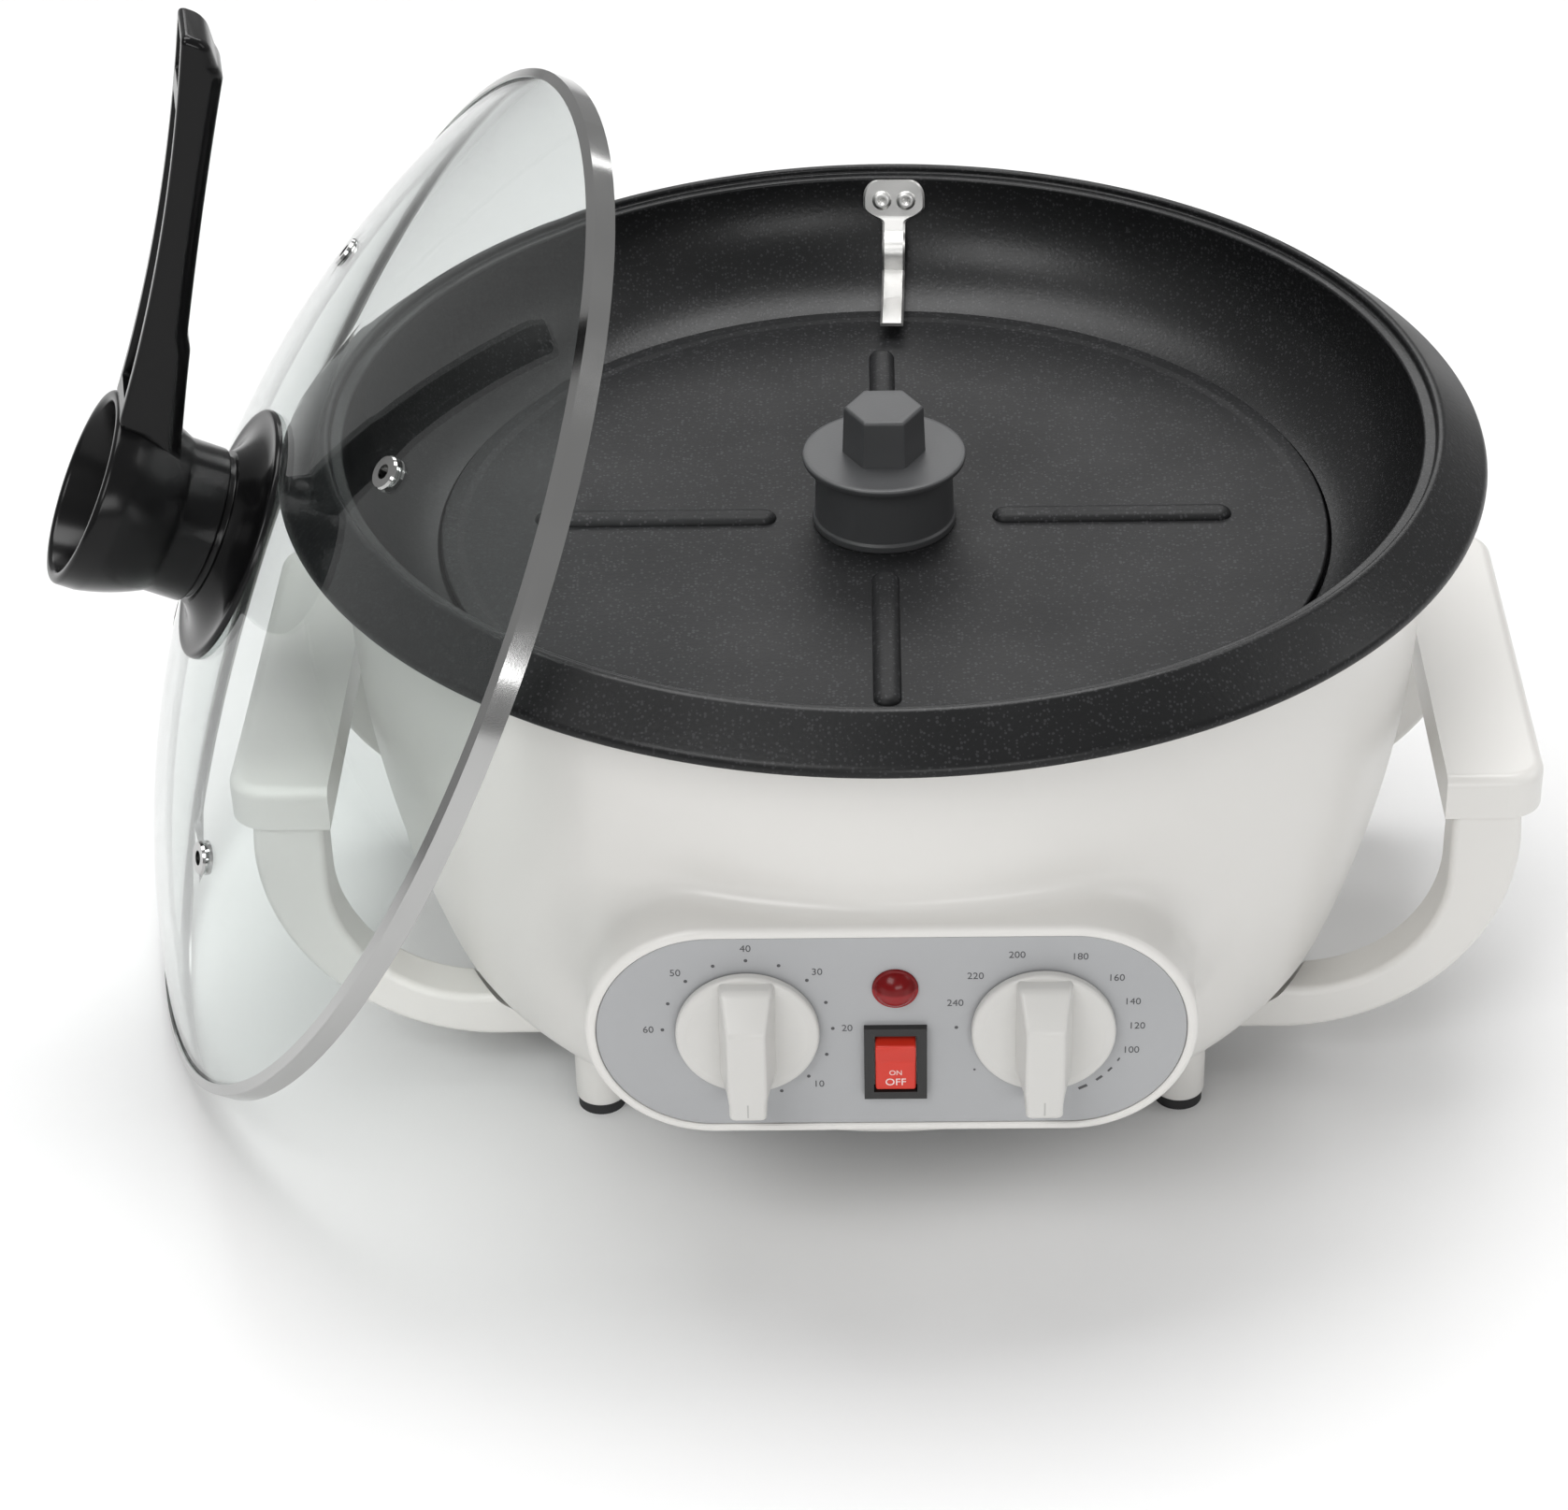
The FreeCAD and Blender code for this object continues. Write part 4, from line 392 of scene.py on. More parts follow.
def housing_mesh():
    """The bowl's outside with the boss grown out of its front, as one sheet of faces."""
    heights = evenly(hole_low, hole_high, hole_rows) + evenly(hole_high, bowl_top[1], upper_rows)[1:]
    profile = [(service_radius, bowl_flat[1]), (floor_radius, bowl_flat[1]), bowl_flat]
    side_foot = (bowl_radius(bowl_foot_top), bowl_foot_top)
    profile += [tuple(point) for point in arc(bowl_flat, side_foot, bowl_foot_round, foot_rows)]
    first_row = len(profile)
    profile += [(bowl_radius(height), height) for height in heights]
    points, faces, grid = [], [], []
    for row, (radius, height) in enumerate(profile):
        numbers = []
        for column in range(columns):
            inside = first_row < row < first_row + hole_rows
            if inside and (column < hole_columns or column > columns - hole_columns):
                numbers.append(None)
                continue
            numbers.append(len(points))
            angle = 2 * math.pi * column / columns
            points.append(Vector((radius * math.sin(angle), -radius * math.cos(angle), height)))
        grid.append(numbers)
    for row, (low, high) in enumerate(zip(grid, grid[1:])):
        hole_row = first_row <= row < first_row + hole_rows
        for column in range(columns):
            after = (column + 1) % columns
            hole_column = column < hole_columns or column >= columns - hole_columns
            if not (hole_row and hole_column):
                faces.append([low[column], low[after], high[after], high[column]])
    low, high = grid[first_row], grid[first_row + hole_rows]
    left, right = -hole_columns, hole_columns
    ring = [low[column] for column in range(left, right)]
    ring += [grid[first_row + row][right] for row in range(hole_rows)]
    ring += [high[column] for column in range(right, left, -1)]
    ring += [grid[first_row + row][left] for row in range(hole_rows, 0, -1)]

    eighth = math.pi * boss_end_radius / 4
    runs = [(2 * hole_columns, boss_straight + 2 * eighth), (hole_rows, 2 * eighth)] * 2
    spots, start = [], -eighth
    for count, length in runs:
        spots += [around_boss(start + length * part / count) for part in range(count)]
        start += length

    def add_ring(ring, ring_points):
        """Adds a ring of points, with faces between it and the ring before."""
        numbers = list(range(len(points), len(points) + len(ring_points)))
        points.extend(ring_points)
        faces.extend(band_of_faces(ring, numbers))
        return numbers

    def blend_of(out):
        """How far the boss's foot spreads on the bowl, by the outward direction."""
        return boss_blend + boss_end_blend * out.x ** 2

    frame_places = [Vector((points[number].x, points[number].z)) for number in ring]
    skirt = [spot + out * blend_of(out) for spot, out in spots]
    for share in evenly(0, 1, skirt_rows)[1:]:
        between = [edge.lerp(place, share) for edge, place in zip(frame_places, skirt)]
        ring = add_ring(ring, [on_bowl(place.x, place.y) for place in between])
    walls = []
    for spot, out in spots:
        reach = blend_of(out)
        edge, near = on_bowl(*(spot + out * reach)), on_bowl(*(spot + out * reach * 0.9))
        slope = (near.y - edge.y) / (0.1 * reach)
        corner = edge.y + slope * reach
        most_blend = 0.85 * (boss_front - boss_edge_round + corner)
        walls.append((edge, corner, corner - min(reach, most_blend)))
    for share in evenly(0, 1, blend_rows)[1:]:
        blend = []
        for (spot, _), (edge, corner, foot) in zip(spots, walls):
            bend = [edge, Vector((spot.x, corner, spot.y)), Vector((spot.x, foot, spot.y))]
            blend.append(bend[0].lerp(bend[1], share).lerp(bend[1].lerp(bend[2], share), share))
        ring = add_ring(ring, blend)
    edge_start = -(boss_front - boss_edge_round)
    for share in (0.35, 0.7):
        ring = add_ring(ring, [Vector((spot.x, foot + (edge_start - foot) * share, spot.y))
                               for (spot, _), (_, _, foot) in zip(spots, walls)])
    path = [(boss_edge_round * (1 - math.cos(turn)), edge_start - boss_edge_round * math.sin(turn))
            for turn in evenly(0, math.pi / 2, 6)]
    path += [(fascia_border - fascia_lip, -boss_front), (fascia_border, -boss_front + fascia_lip),
             (fascia_border, -boss_front + fascia_seat_depth),
             (fascia_border + fascia_seat_width, -boss_front + fascia_seat_depth)]
    for inset, depth in path:
        ring = add_ring(ring, [Vector((spot.x - out.x * inset, depth, spot.y - out.y * inset))
                               for spot, out in spots])
    faces.append(ring)
    return points, faces


white_plastic = moulded("warm white plastic", (0.72, 0.708, 0.682), 0.29, 0.35, 0.00001)
housing = piece("housing_bowl", *housing_mesh(), white_plastic, "base", "housing", ["housing"])
wall = housing.modifiers.new("moulded wall", "SOLIDIFY")
wall.thickness = wall_thickness
wall.offset = -1

leg_radius, leg_flare = 0.0067, 0.0092
leg_low, leg_neck, leg_high = 0.003, 0.0205, 0.0233
leg_spots = [(side * 0.076, end * 0.0689, 0) for side in (1, -1) for end in (1, -1)]
leg_outline = rounded([(0, leg_low), (leg_radius, leg_low, 0.0008), (leg_radius, leg_neck, 0.004),
                       (leg_flare, leg_high), (0, leg_high)])
legs = joined(moved(Matrix.Translation(spot), turned(leg_outline, 64)) for spot in leg_spots)
piece("housing_legs", *legs, white_plastic, "base", "housing", ["housing"])


# ---- Rubber feet and cord inlet ----
# Turned black rubber: a foot pushed into the end of each leg, and the bush that lines the hole in
# the back of the bowl where the mains lead would enter.
def dress(material, *nodes):
    """Gives CAD nodes their finish."""
    for name in nodes:
        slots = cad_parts[name].data.materials
        slots.clear()
        slots.append(material)


rubber = moulded("black rubber", (0.016, 0.016, 0.017), 0.6, 0.75, 0.00005)
dress(rubber, "rubber_feet", "cord_inlet")


# ---- Base cover and its screws ----
# A slotted disc of galvanised sheet steel under the bowl, which lets cool air in. Four zinc plated
# screws with crossed slots hold it.
def metal(name, colour, least, most, patches, grain, grain_depth, drift=0.85):
    """Bare or plated metal: a drifting shade and polish over fine marks of its making."""
    material = surfaced(name, colour, least, most, patches, grain, grain_depth, Metallic=1.0)
    drifted(material, patches / 2, [drift * part for part in colour], colour)
    return material


galvanised = metal("galvanised sheet steel", (0.62, 0.63, 0.64), 0.3, 0.5, 110, 700, 0.00003, 0.72)
zinc = metal("zinc plated steel", (0.62, 0.62, 0.6), 0.29, 0.42, 200, 1500, 0.00002)
dress(galvanised, "base_cover")
dress(zinc, "base_screws")


# ---- Grips and their screws ----
# Each grip is a flat moulded hand rest on two curved arms, of the housing's own plastic. A screw
# from below through the foot of each arm holds it against the bowl.
dress(white_plastic, "right_handle", "left_handle")
dress(zinc, "handle_screws")


# ---- Roasting pan ----
# A pressed steel pan with a black non-stick coating, sprayed on and baked, so it is satin with fine
# lighter flecks. Its lip carries the lid and its sloping flange covers the edge of the bowl.
def fleck_group():
    """A mask of small round flecks, scattered one to a cell."""
    group, given, result = shader_group("coating flecks", {"Flecks": 900, "Size": 0.2}, "Mask")
    cells = step(group, "ShaderNodeTexVoronoi", {"Vector": given["Place"], "Scale": given["Flecks"]})
    chance = step(group, "ShaderNodeSeparateColor", {"Color": cells["Color"]})
    wide = step(group, "ShaderNodeMath", {0: chance["Red"], 1: given["Size"]}, operation="MULTIPLY")
    inside = step(group, "ShaderNodeMath", {0: cells["Distance"], 1: wide["Value"]},
                  operation="LESS_THAN")
    group.links.new(inside["Value"], result["Mask"])
    return group


coating_flecks = fleck_group()


def coated(name, colour, fleck_colour, least, most, flecks, size, sheen):
    """Sprayed non-stick coating with flecks, over the faint orange peel that spraying leaves."""
    material = surfaced(name, colour, least, most, 25, 900, 0.00005, Specular_IOR_Level=sheen)
    tinted(material, effect(material, coating_flecks, Flecks=flecks, Size=size), colour, fleck_colour)
    return material


pan_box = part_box("pan")
rim_height = pan_box[1].z
flange_radius = pan_box[1].x
mouth_radius, lip_radius = 0.140, 0.1418
seat_radius = 0.1368
seat_height = rim_height - 0.002
wall_top, wall_foot = (seat_radius, rim_height - 0.003), (0.1155, 0.136)
wall_curve = 0.0332
pan_sheet = 0.0019
pan_floor = wall_foot[1] - 0.003
bush_radius = 0.009
under_foot, under_lip, under_curve = (0.11735, 0.1343), (0.13865, 0.1661), 0.0351
flange_height = rim_height - 0.0091
flange_inside, hem = 0.1514, 0.0024

pan_outline = [(bush_radius, pan_floor - pan_sheet), (wall_foot[0] + pan_sheet, pan_floor - pan_sheet)]
pan_outline += [under_foot, *arc(under_foot, under_lip, under_curve, 40)]
pan_outline += rounded([under_lip, (0.1447, under_lip[1], 0.001), (0.15135, 0.1601, 0.001),
                        (flange_inside, flange_height - hem, 0.0009),
                        (flange_radius, flange_height - hem, 0.0009),
                        (flange_radius, flange_height, 0.0028), (lip_radius, rim_height, 0.0025),
                        (mouth_radius, rim_height, 0.0009), (mouth_radius, seat_height, 0.0006),
                        (seat_radius, seat_height, 0.0008), wall_top], 8)[1:]
pan_outline += arc(wall_top, wall_foot, -wall_curve, 48)
pan_outline += rounded([wall_foot, (wall_foot[0], pan_floor, 0.0015), (bush_radius, pan_floor)], 5)[1:]
pan_coating = coated("black non-stick coating", (0.006, 0.0062, 0.0066), (0.022, 0.022, 0.0235),
                     0.3, 0.4, 1100, 0.45, 0.3)
piece("roasting_pan", *turned(pan_outline, 320), pan_coating, "base", "pan_coating", ["pan"])


# ---- Bush, shaft and coupling ----
# A turned brass bush through the pan's floor, held by a thin nut, carries the ground steel shaft
# that the turntable stands on. A plated coupling joins the shaft to the gearbox's own.
brass = metal("turned brass", (0.6, 0.43, 0.19), 0.29, 0.4, 150, 1800, 0.00001, 0.8)
ground_steel = metal("ground shaft steel", (0.58, 0.58, 0.57), 0.16, 0.26, 90, 2600, 0.00001)
dress(brass, "shaft_bush")
dress(zinc, "bush_nut", "coupling")
dress(ground_steel, "drive_shaft", "motor_output_shaft")


# ---- Turntable, hub column and cap nut ----
# The turntable is a coated steel disc with four pressed ribs that drag the beans round. A charcoal
# plastic column stands on it under a thin round cap, and a tapered hexagonal nut holds them down.
disc_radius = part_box("turntable")[1].x
disc_bore, disc_low, disc_top = 0.004, 0.136, 0.1375
disc_rim, disc_dish = 0.004, 0.0004
disc_floor = disc_top - disc_dish
disc_coating = coated("dark grey non-stick coating", (0.011, 0.0112, 0.0118), (0.032, 0.032, 0.034),
                      0.42, 0.54, 1000, 0.45, 0.2)
disc_outline = rounded([(disc_bore, disc_low), (disc_radius, disc_low, 0.0006),
                        (disc_radius, disc_top, 0.0006), (disc_radius - disc_rim, disc_top, 0.002),
                        (disc_radius - disc_rim - 0.002, disc_floor, 0.002), (disc_bore, disc_floor)])
piece("turntable_disc", *turned(disc_outline, 320), disc_coating, "turntable", "disc_coating",
      ["turntable"])

rib_start, rib_end, rib_half_width, rib_height = 0.028, 0.090, 0.0035, 0.0016
rib_sink, rib_crown = 0.0006, 0.85


def stacked(rings):
    """Points and faces of rings of points that follow each other, with a cap at each end."""
    count = len(rings[0])
    points = [point for ring in rings for point in ring]
    numbers = [list(range(start, start + count)) for start in range(0, len(points), count)]
    faces = []
    for ring, following in zip(numbers, numbers[1:]):
        faces += band_of_faces(ring, following)
    return points, faces + [numbers[0][::-1], numbers[-1]]


def rib_ring(lift, inset):
    """The outline of a rib at some height, drawn in by the inset."""
    half = rib_half_width - inset
    ring = []
    for middle, side in ((rib_end - rib_half_width, -1), (rib_start + rib_half_width, 1)):
        ring += [(middle + half * math.cos(angle), half * math.sin(angle), lift)
                 for angle in evenly(side * math.pi / 2, (side + 2) * math.pi / 2, 32)]
    return ring


rib = stacked([rib_ring(disc_top - rib_sink + (rib_height + rib_sink) * math.sin(turn),
                        rib_half_width * rib_crown * (1 - math.cos(turn)))
               for turn in evenly(0, math.pi / 2, 10)])
ribs = joined(moved(Matrix.Rotation(quarter * math.pi / 2, 4, "Z"), rib) for quarter in range(4))
piece("turntable_ribs", *ribs, disc_coating, "turntable", "disc_coating", ["turntable"])

column_top, cap_top = 0.155, 0.157
column_foot_radius, column_radius, column_top_radius = 0.0186, 0.018, 0.0176
cap_under_radius, cap_radius, cap_flat_radius = 0.0209, 0.0213, 0.0198
hub_plastic = moulded("charcoal plastic", (0.052, 0.053, 0.055), 0.38, 0.48, 0.00003)
column_outline = rounded([(disc_bore, disc_floor), (column_foot_radius, disc_floor, 0.0004),
                          (column_foot_radius, disc_top + 0.0014, 0.0005),
                          (column_radius, disc_top + 0.002, 0.0005),
                          (column_top_radius, column_top, 0.0003),
                          (cap_under_radius, column_top, 0.0006),
                          (cap_radius, cap_top - 0.0002, 0.0007), (cap_flat_radius, cap_top, 0.0006),
                          (disc_bore, cap_top)], 5)
piece("hub_column_turned", *turned(column_outline, 160), hub_plastic, "turntable", "hub_plastic",
      ["hub_column"])

nut_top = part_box("cap_nut")[1].z
nut_foot_radius, nut_top_radius = 0.0108, 0.0103
nut_corner_round, nut_crown, nut_hollow = 0.0007, 0.001, 0.003


def hexagon(radius, lift):
    """A hexagon of the radius given, with rounded corners."""
    corners = [(x, y, nut_corner_round) for x, y in circle(radius, 6)]
    return [(point.x, point.y, lift) for point in rounded(corners, 4)]


nut_rings = [hexagon(nut_foot_radius, cap_top)]
nut_rings += [hexagon(nut_top_radius - nut_crown * (1 - math.cos(turn)),
                      nut_top - nut_crown * (1 - math.sin(turn))) for turn in evenly(0, math.pi / 2, 5)]
nut_rings.append(hexagon(nut_top_radius - nut_hollow, nut_top))
piece("cap_nut_hexagon", *stacked(nut_rings), hub_plastic, "turntable", "hub_plastic", ["cap_nut"],
      sharp=40)


# ---- Scraper strip and its rivets ----
# A strip of satin spring steel that turns the beans over. Its round head is riveted to the pan's
# wall. Below that the strip steps off the wall, drops, and folds in over the turntable's edge.
strip_steel = metal("satin strip steel", (0.76, 0.755, 0.74), 0.3, 0.42, 120, 2500, 0.00001, 0.94)
strip_across = 0.0042
strip_turn = Matrix.Rotation(-math.asin(strip_across / mouth_radius), 4, "Z")
strip_half_width, strip_head_half, strip_thickness = 0.0032, 0.0087, 0.001
strip_edge_width, strip_edge_drop = 0.0006, 0.0004
head_crown, head_crown_inset, head_shoulder, head_neck = 0.0052, 0.0042, 0.0078, 0.0128
head_top, head_foot = Vector((0.13650, 0.1675)), Vector((0.13420, 0.1568))
strip_path = rounded([head_top, (*head_foot, 0.003), (0.1312, 0.1532, 0.003), (0.1266, 0.1512, 0.0045),
                      (0.1264, 0.1437, 0.0005), (0.1125, 0.1414, 0.006), (0.0985, 0.1409)], 8)


def eased(share):
    """From 0 to 1 with a soft start and end."""
    share = min(1, max(0, share))
    return share * share * (3 - 2 * share)


def strip_half(run):
    """Half the strip's width, at a distance along it from the top of its head."""
    if run < head_crown:
        return strip_head_half - head_crown_inset * (1 - math.sqrt(1 - (1 - run / head_crown) ** 2))
    narrowing = eased((run - head_shoulder) / (head_neck - head_shoulder))
    return strip_head_half + (strip_half_width - strip_head_half) * narrowing


def strip_stations():
    """Places along the strip's path, closer together over its head."""
    total = sum((after - before).length for before, after in zip(strip_path, strip_path[1:]))
    runs = [head_crown * share ** 2 for share in evenly(0, 1, 10)]
    runs += evenly(0.006, 0.0132, 12) + evenly(0.0136, total, 72)[1:]
    stations = []
    for run in runs:
        left = run
        for before, after in zip(strip_path, strip_path[1:]):
            length = (after - before).length
            if left <= length or after == strip_path[-1]:
                direction = (after - before).normalized()
                stations.append((strip_half(run), before + direction * left, direction))
                break
            left -= length
    return stations


strip_rings = []
for half, spot, direction in strip_stations():
    face = Vector((direction.y, -direction.x))
    edge_lift = strip_thickness - strip_edge_drop
    ring = []
    for across, lift in ((-half, 0), (half, 0), (half, edge_lift),
                         (half - strip_edge_width, strip_thickness),
                         (strip_edge_width - half, strip_thickness), (-half, edge_lift)):
        place = spot + face * lift
        ring.append(strip_turn @ Vector((across, place.x, place.y)))
    strip_rings.append(ring)
piece("scraper_strip_bent", *stacked(strip_rings), strip_steel, "base", "strip_steel",
      ["scraper_strip"], sharp=25)

rivet_radius, rivet_height, rivet_pit = 0.0027, 0.00095, 0.0004
rivet_half_spacing, rivet_drop = 0.0034, 0.0058
rivet_outline = rounded([(0, 0), (rivet_radius, 0), (rivet_radius, 0.0004, 0.0003),
                         (0.0019, rivet_height, 0.0004), (0.0011, rivet_height, 0.0003),
                         (0.0006, rivet_pit, 0.0003), (0, rivet_pit)], 5)
head_up = (head_top - head_foot).normalized()
head_out = Vector((-head_up.y, head_up.x))
rivet_turn = Matrix(((1, 0, 0), (0, *head_up), (0, *head_out))).transposed().to_4x4()
rivet_middle = head_top - head_up * rivet_drop + head_out * strip_thickness
rivets = joined(moved(strip_turn @ Matrix.Translation((side * rivet_half_spacing, *rivet_middle))
                      @ rivet_turn, turned(rivet_outline, 48)) for side in (-1, 1))
piece("strip_rivet_heads", *rivets, strip_steel, "base", "strip_steel", ["strip_rivets"])


# ---- Heating element ----
# A dulled tubular steel ring under the pan's floor, browned by heat. Plated straps on studs that are
# welded to the pan clamp it up against the floor.
sheath = metal("heat-dulled element sheath", (0.3, 0.25, 0.19), 0.35, 0.55, 60, 1200, 0.00003, 0.5)
dress(sheath, "heating_element")
dress(zinc, "element_straps", "pan_studs", "strap_nuts")


# ---- Heat shield ----
# A pressed dish of galvanised steel between the element and the motor. It sits on the same four
# studs as the straps, held by four plated nuts.
dress(galvanised, "heat_shield")
dress(zinc, "shield_nuts")


# ---- Motor and gearbox ----
# A small motor in an enamelled can under its plated gear case. A folded steel bridge, dropped from
# two of the pan's studs, carries them, with two screws.
motor_enamel = moulded("dark motor enamel", (0.05, 0.05, 0.055), 0.32, 0.46, 0.00004)
dress(motor_enamel, "motor_can")
dress(galvanised, "gearbox", "motor_bracket")
dress(zinc, "motor_screws")


# ---- Terminal block ----
# A block of cream moulded plastic on the bowl's floor, where the wiring inside meets the mains
# lead.
terminal_plastic = moulded("cream terminal plastic", (0.6, 0.57, 0.49), 0.4, 0.55, 0.00004)
dress(terminal_plastic, "terminal_block")


# ---- Control fascia ----
# A plain grey painted plate in the boss's recess. Its dial marks are printed: dots and round
# numbers about the timer, numbers and a growing wedge of dashes about the thermostat.
fascia_paint = finish("grey fascia paint", (0.38, 0.385, 0.395), 0.45)
glossed(fascia_paint, 30, 0.38, 0.5)
grained(fascia_paint, 3500, 0.00001)
drifted(fascia_paint, 12, (0.365, 0.37, 0.378), (0.395, 0.4, 0.408))
dress(fascia_paint, "control_fascia")

fascia_front = 0.1455
controls_shift, dial_half_spacing = 0.001, 0.0352
knob_height = 0.082
timer_across = controls_shift - dial_half_spacing
heat_across = controls_shift + dial_half_spacing
print_depth = 0.00005
dot_radius, small_dot_radius = 0.00045, 0.0003
timer_dots, timer_numbers, heat_marks, heat_numbers = 0.0203, 0.0237, 0.0207, 0.0222
number_height = 0.0027
marks = []


def on_fascia(across, up):
    """The place of something that faces the front on the fascia, at a place across and up."""
    return Matrix.Translation((across, -fascia_front, up)) @ Matrix.Rotation(math.pi / 2, 4, "X")


def dial_spot(across, degrees, radius):
    """A place about a dial, by the angle from straight down, anticlockwise."""
    turn = math.radians(degrees)
    return across + radius * math.sin(turn), knob_height - radius * math.cos(turn)


def printed(middle, corners):
    """Adds a thin printed shape to the marks, from its corners about a middle."""
    shape = stacked([[(x, y, lift) for x, y in corners] for lift in (-print_depth, print_depth)])
    marks.append(moved(on_fascia(*middle), shape))


def lettering(text, height):
    """Points and faces of a thin printed word or number, upright about its middle."""
    words = bpy.data.curves.new(text, "FONT")
    words.body = text
    words.size = height
    words.extrude = print_depth
    words.align_x = "CENTER"
    words.align_y = "CENTER"
    holder = bpy.data.objects.new(text, words)
    shape = bpy.data.meshes.new_from_object(holder)
    points = [vertex.co.copy() for vertex in shape.vertices]
    faces = [list(polygon.vertices) for polygon in shape.polygons]
    bpy.data.meshes.remove(shape)
    bpy.data.objects.remove(holder)
    return points, faces


def printed_number(number, middle):
    """Adds a number to the marks."""
    marks.append(moved(on_fascia(*middle), lettering(str(number), number_height)))


for tick in range(1, 13):
    angle = 22.5 * tick
    printed(dial_spot(timer_across, angle, timer_dots), circle(dot_radius, 20))
    if tick % 2 == 0:
        printed_number(5 * tick, dial_spot(timer_across, angle, timer_numbers))
for index, angle in enumerate((71, 90, 109, 130, 158, 197, 227, 251)):
    printed_number(100 + 20 * index, dial_spot(heat_across, angle, heat_numbers))
for index, angle in enumerate((61, 51, 41, 28)):
    half_length, half_width = 0.0005 + 0.00022 * index, 0.0002 + 0.00006 * index
    turn = math.radians(angle)
    along = Vector((math.cos(turn), math.sin(turn)))
    beside = Vector((-along.y, along.x))
    printed(dial_spot(heat_across, angle, heat_marks),
            [along * (half_length * a) + beside * (half_width * b) for a, b in square])
printed(dial_spot(heat_across, 270, heat_marks), circle(dot_radius, 20))
printed(dial_spot(heat_across, 308, heat_marks), circle(small_dot_radius, 20))
fascia_ink = finish("fascia ink", (0.03, 0.03, 0.033), 0.5)
tinted(fascia_ink, effect(fascia_ink, mould_grain, Grain=2500), (0.04, 0.04, 0.042), (0.1, 0.1, 0.105))
piece("dial_marks", *joined(marks), fascia_ink, "base", "fascia", [])


# ---- Knobs and their works ----
# Two white moulded knobs, pushed on flatted steel spindles. Each is a round skirt with a tall bar
# across it, chamfered along both sides, ramped at the top and drawn in to a pointer with a fine line.
knob_plastic = moulded("white knob plastic", (0.62, 0.612, 0.59), 0.29, 0.37, 0.00002)
pointer_paint = moulded("pointer line paint", (0.45, 0.445, 0.43), 0.4, 0.5, 0.00001)
knob_gap = 0.0007
skirt_radius, skirt_edge, skirt_face_radius, skirt_top = 0.01715, 0.003, 0.0145, 0.0035
skirt_outline = rounded([(0, knob_gap), (skirt_radius, knob_gap, 0.0002),
                         (skirt_radius, skirt_edge, 0.0011), (skirt_face_radius, skirt_top, 0.003),
                         (0, skirt_top)], 6)
bar_low, bar_high, bar_foot, bar_top = -0.0176, 0.0158, 0.002, 0.01344
pointer_half, bar_foot_half, bar_face_half = 0.0047, 0.0066, 0.0046
flare_start, flare_length = -0.0142, 0.0046
ramp_start, ramp_drop = 0.0078, 0.0068
bar_end_round = 0.0011
line_middle, line_half_length, line_half_width = -0.0144, 0.0019, 0.0002


def round_ended(low, high, rounding, count, between=1):
    """Places from low to high, each with the inset that rounds off both ends."""
    start = [(rounding * (1 - math.cos(turn)), rounding * (1 - math.sin(turn)))
             for turn in evenly(0, math.pi / 2, count)]
    middle = evenly(low + rounding, high - rounding, between)[1:-1]
    return ([(low + along, inset) for along, inset in start] + [(along, 0) for along in middle]
            + [(high - along, inset) for along, inset in start[::-1]])


def knob_bar():
    """The bar, as rounded sections that follow each other from the pointer to the top end."""
    rings = []
    for along, shrink in round_ended(bar_low, bar_high, bar_end_round, 5, 36):
        widening = eased((along - flare_start) / flare_length)
        ramp = max(0, along - ramp_start) / (bar_high - ramp_start)
        lift = bar_top - ramp_drop * ramp - shrink
        foot_half = pointer_half + (bar_foot_half - pointer_half) * widening - shrink
        slope = (bar_top - skirt_top) / (bar_foot_half - bar_face_half)
        inset = (lift - skirt_top) / slope * (0.15 + 0.85 * widening)
        face_half = foot_half - inset
        section = rounded([(foot_half, bar_foot), (foot_half, skirt_top + 0.001, 0.0008),
                           (face_half, lift, 0.0012), (-face_half, lift, 0.0012),
                           (-foot_half, skirt_top + 0.001, 0.0008), (-foot_half, bar_foot)], 5)
        rings.append([(point.x, along, point.y) for point in section[::-1]])
    return stacked(rings)


def knob(name, across, body):
    """A knob, and the fine line on its pointer."""
    place = on_fascia(across, knob_height)
    piece(name + "_skirt", *turned(skirt_outline, 160), knob_plastic, body, "knob", [name], place)
    piece(name + "_bar", *knob_bar(), knob_plastic, body, "knob", [name], place, sharp=50)
    line = [[(line_half_width * a, line_middle + line_half_length * b, lift) for a, b in square]
            for lift in (bar_top - 0.0001, bar_top + 0.00004)]
    piece(name + "_line", *stacked(line), pointer_paint, body, "knob", [], place)


knob("timer_knob", timer_across, "timer")
knob("temperature_knob", heat_across, "temperature")
dress(ground_steel, "timer_spindle", "temperature_spindle")
dress(galvanised, "timer_mechanism", "thermostat_body")


# ---- Pilot lamp ----
# A domed red lens moulded with its own thin flange, with painted shade: its colour darkens towards its
# top, standing in for the lamp's light inside.
# A black plastic ring holds it from behind.
lens_red = finish("red lamp lens", (0.3, 0.008, 0.012), 0.2, Specular_IOR_Level=0.3)
glossed(lens_red, 200, 0.17, 0.25)
# Painted shade: by the lens's own height, its colour runs from brighter red at the foot to dark red at
# the top.
lens_height = step(lens_red.node_tree, "ShaderNodeSeparateXYZ",
                   {"Vector": lens_red.node_tree.nodes["piece coordinates"].outputs["Object"]})
lens_painted_shade = step(lens_red.node_tree, "ShaderNodeMapRange",
                  {"Value": lens_height["Y"], "From Min": -0.0004, "From Max": 0.0006},
                  interpolation_type="SMOOTHSTEP")
tinted(lens_red, lens_painted_shade["Result"], (0.26, 0.012, 0.014), (0.15, 0.0, 0.001))
lamp_height = 0.0939
lens_radius, lens_flange, lens_flange_top, lens_top = 0.004, 0.0055, 0.0008, 0.0038
dome_foot = (0.0049, lens_flange_top)
lens_outline = [(0, -0.012), (lens_radius, -0.012), (lens_radius, 0)]
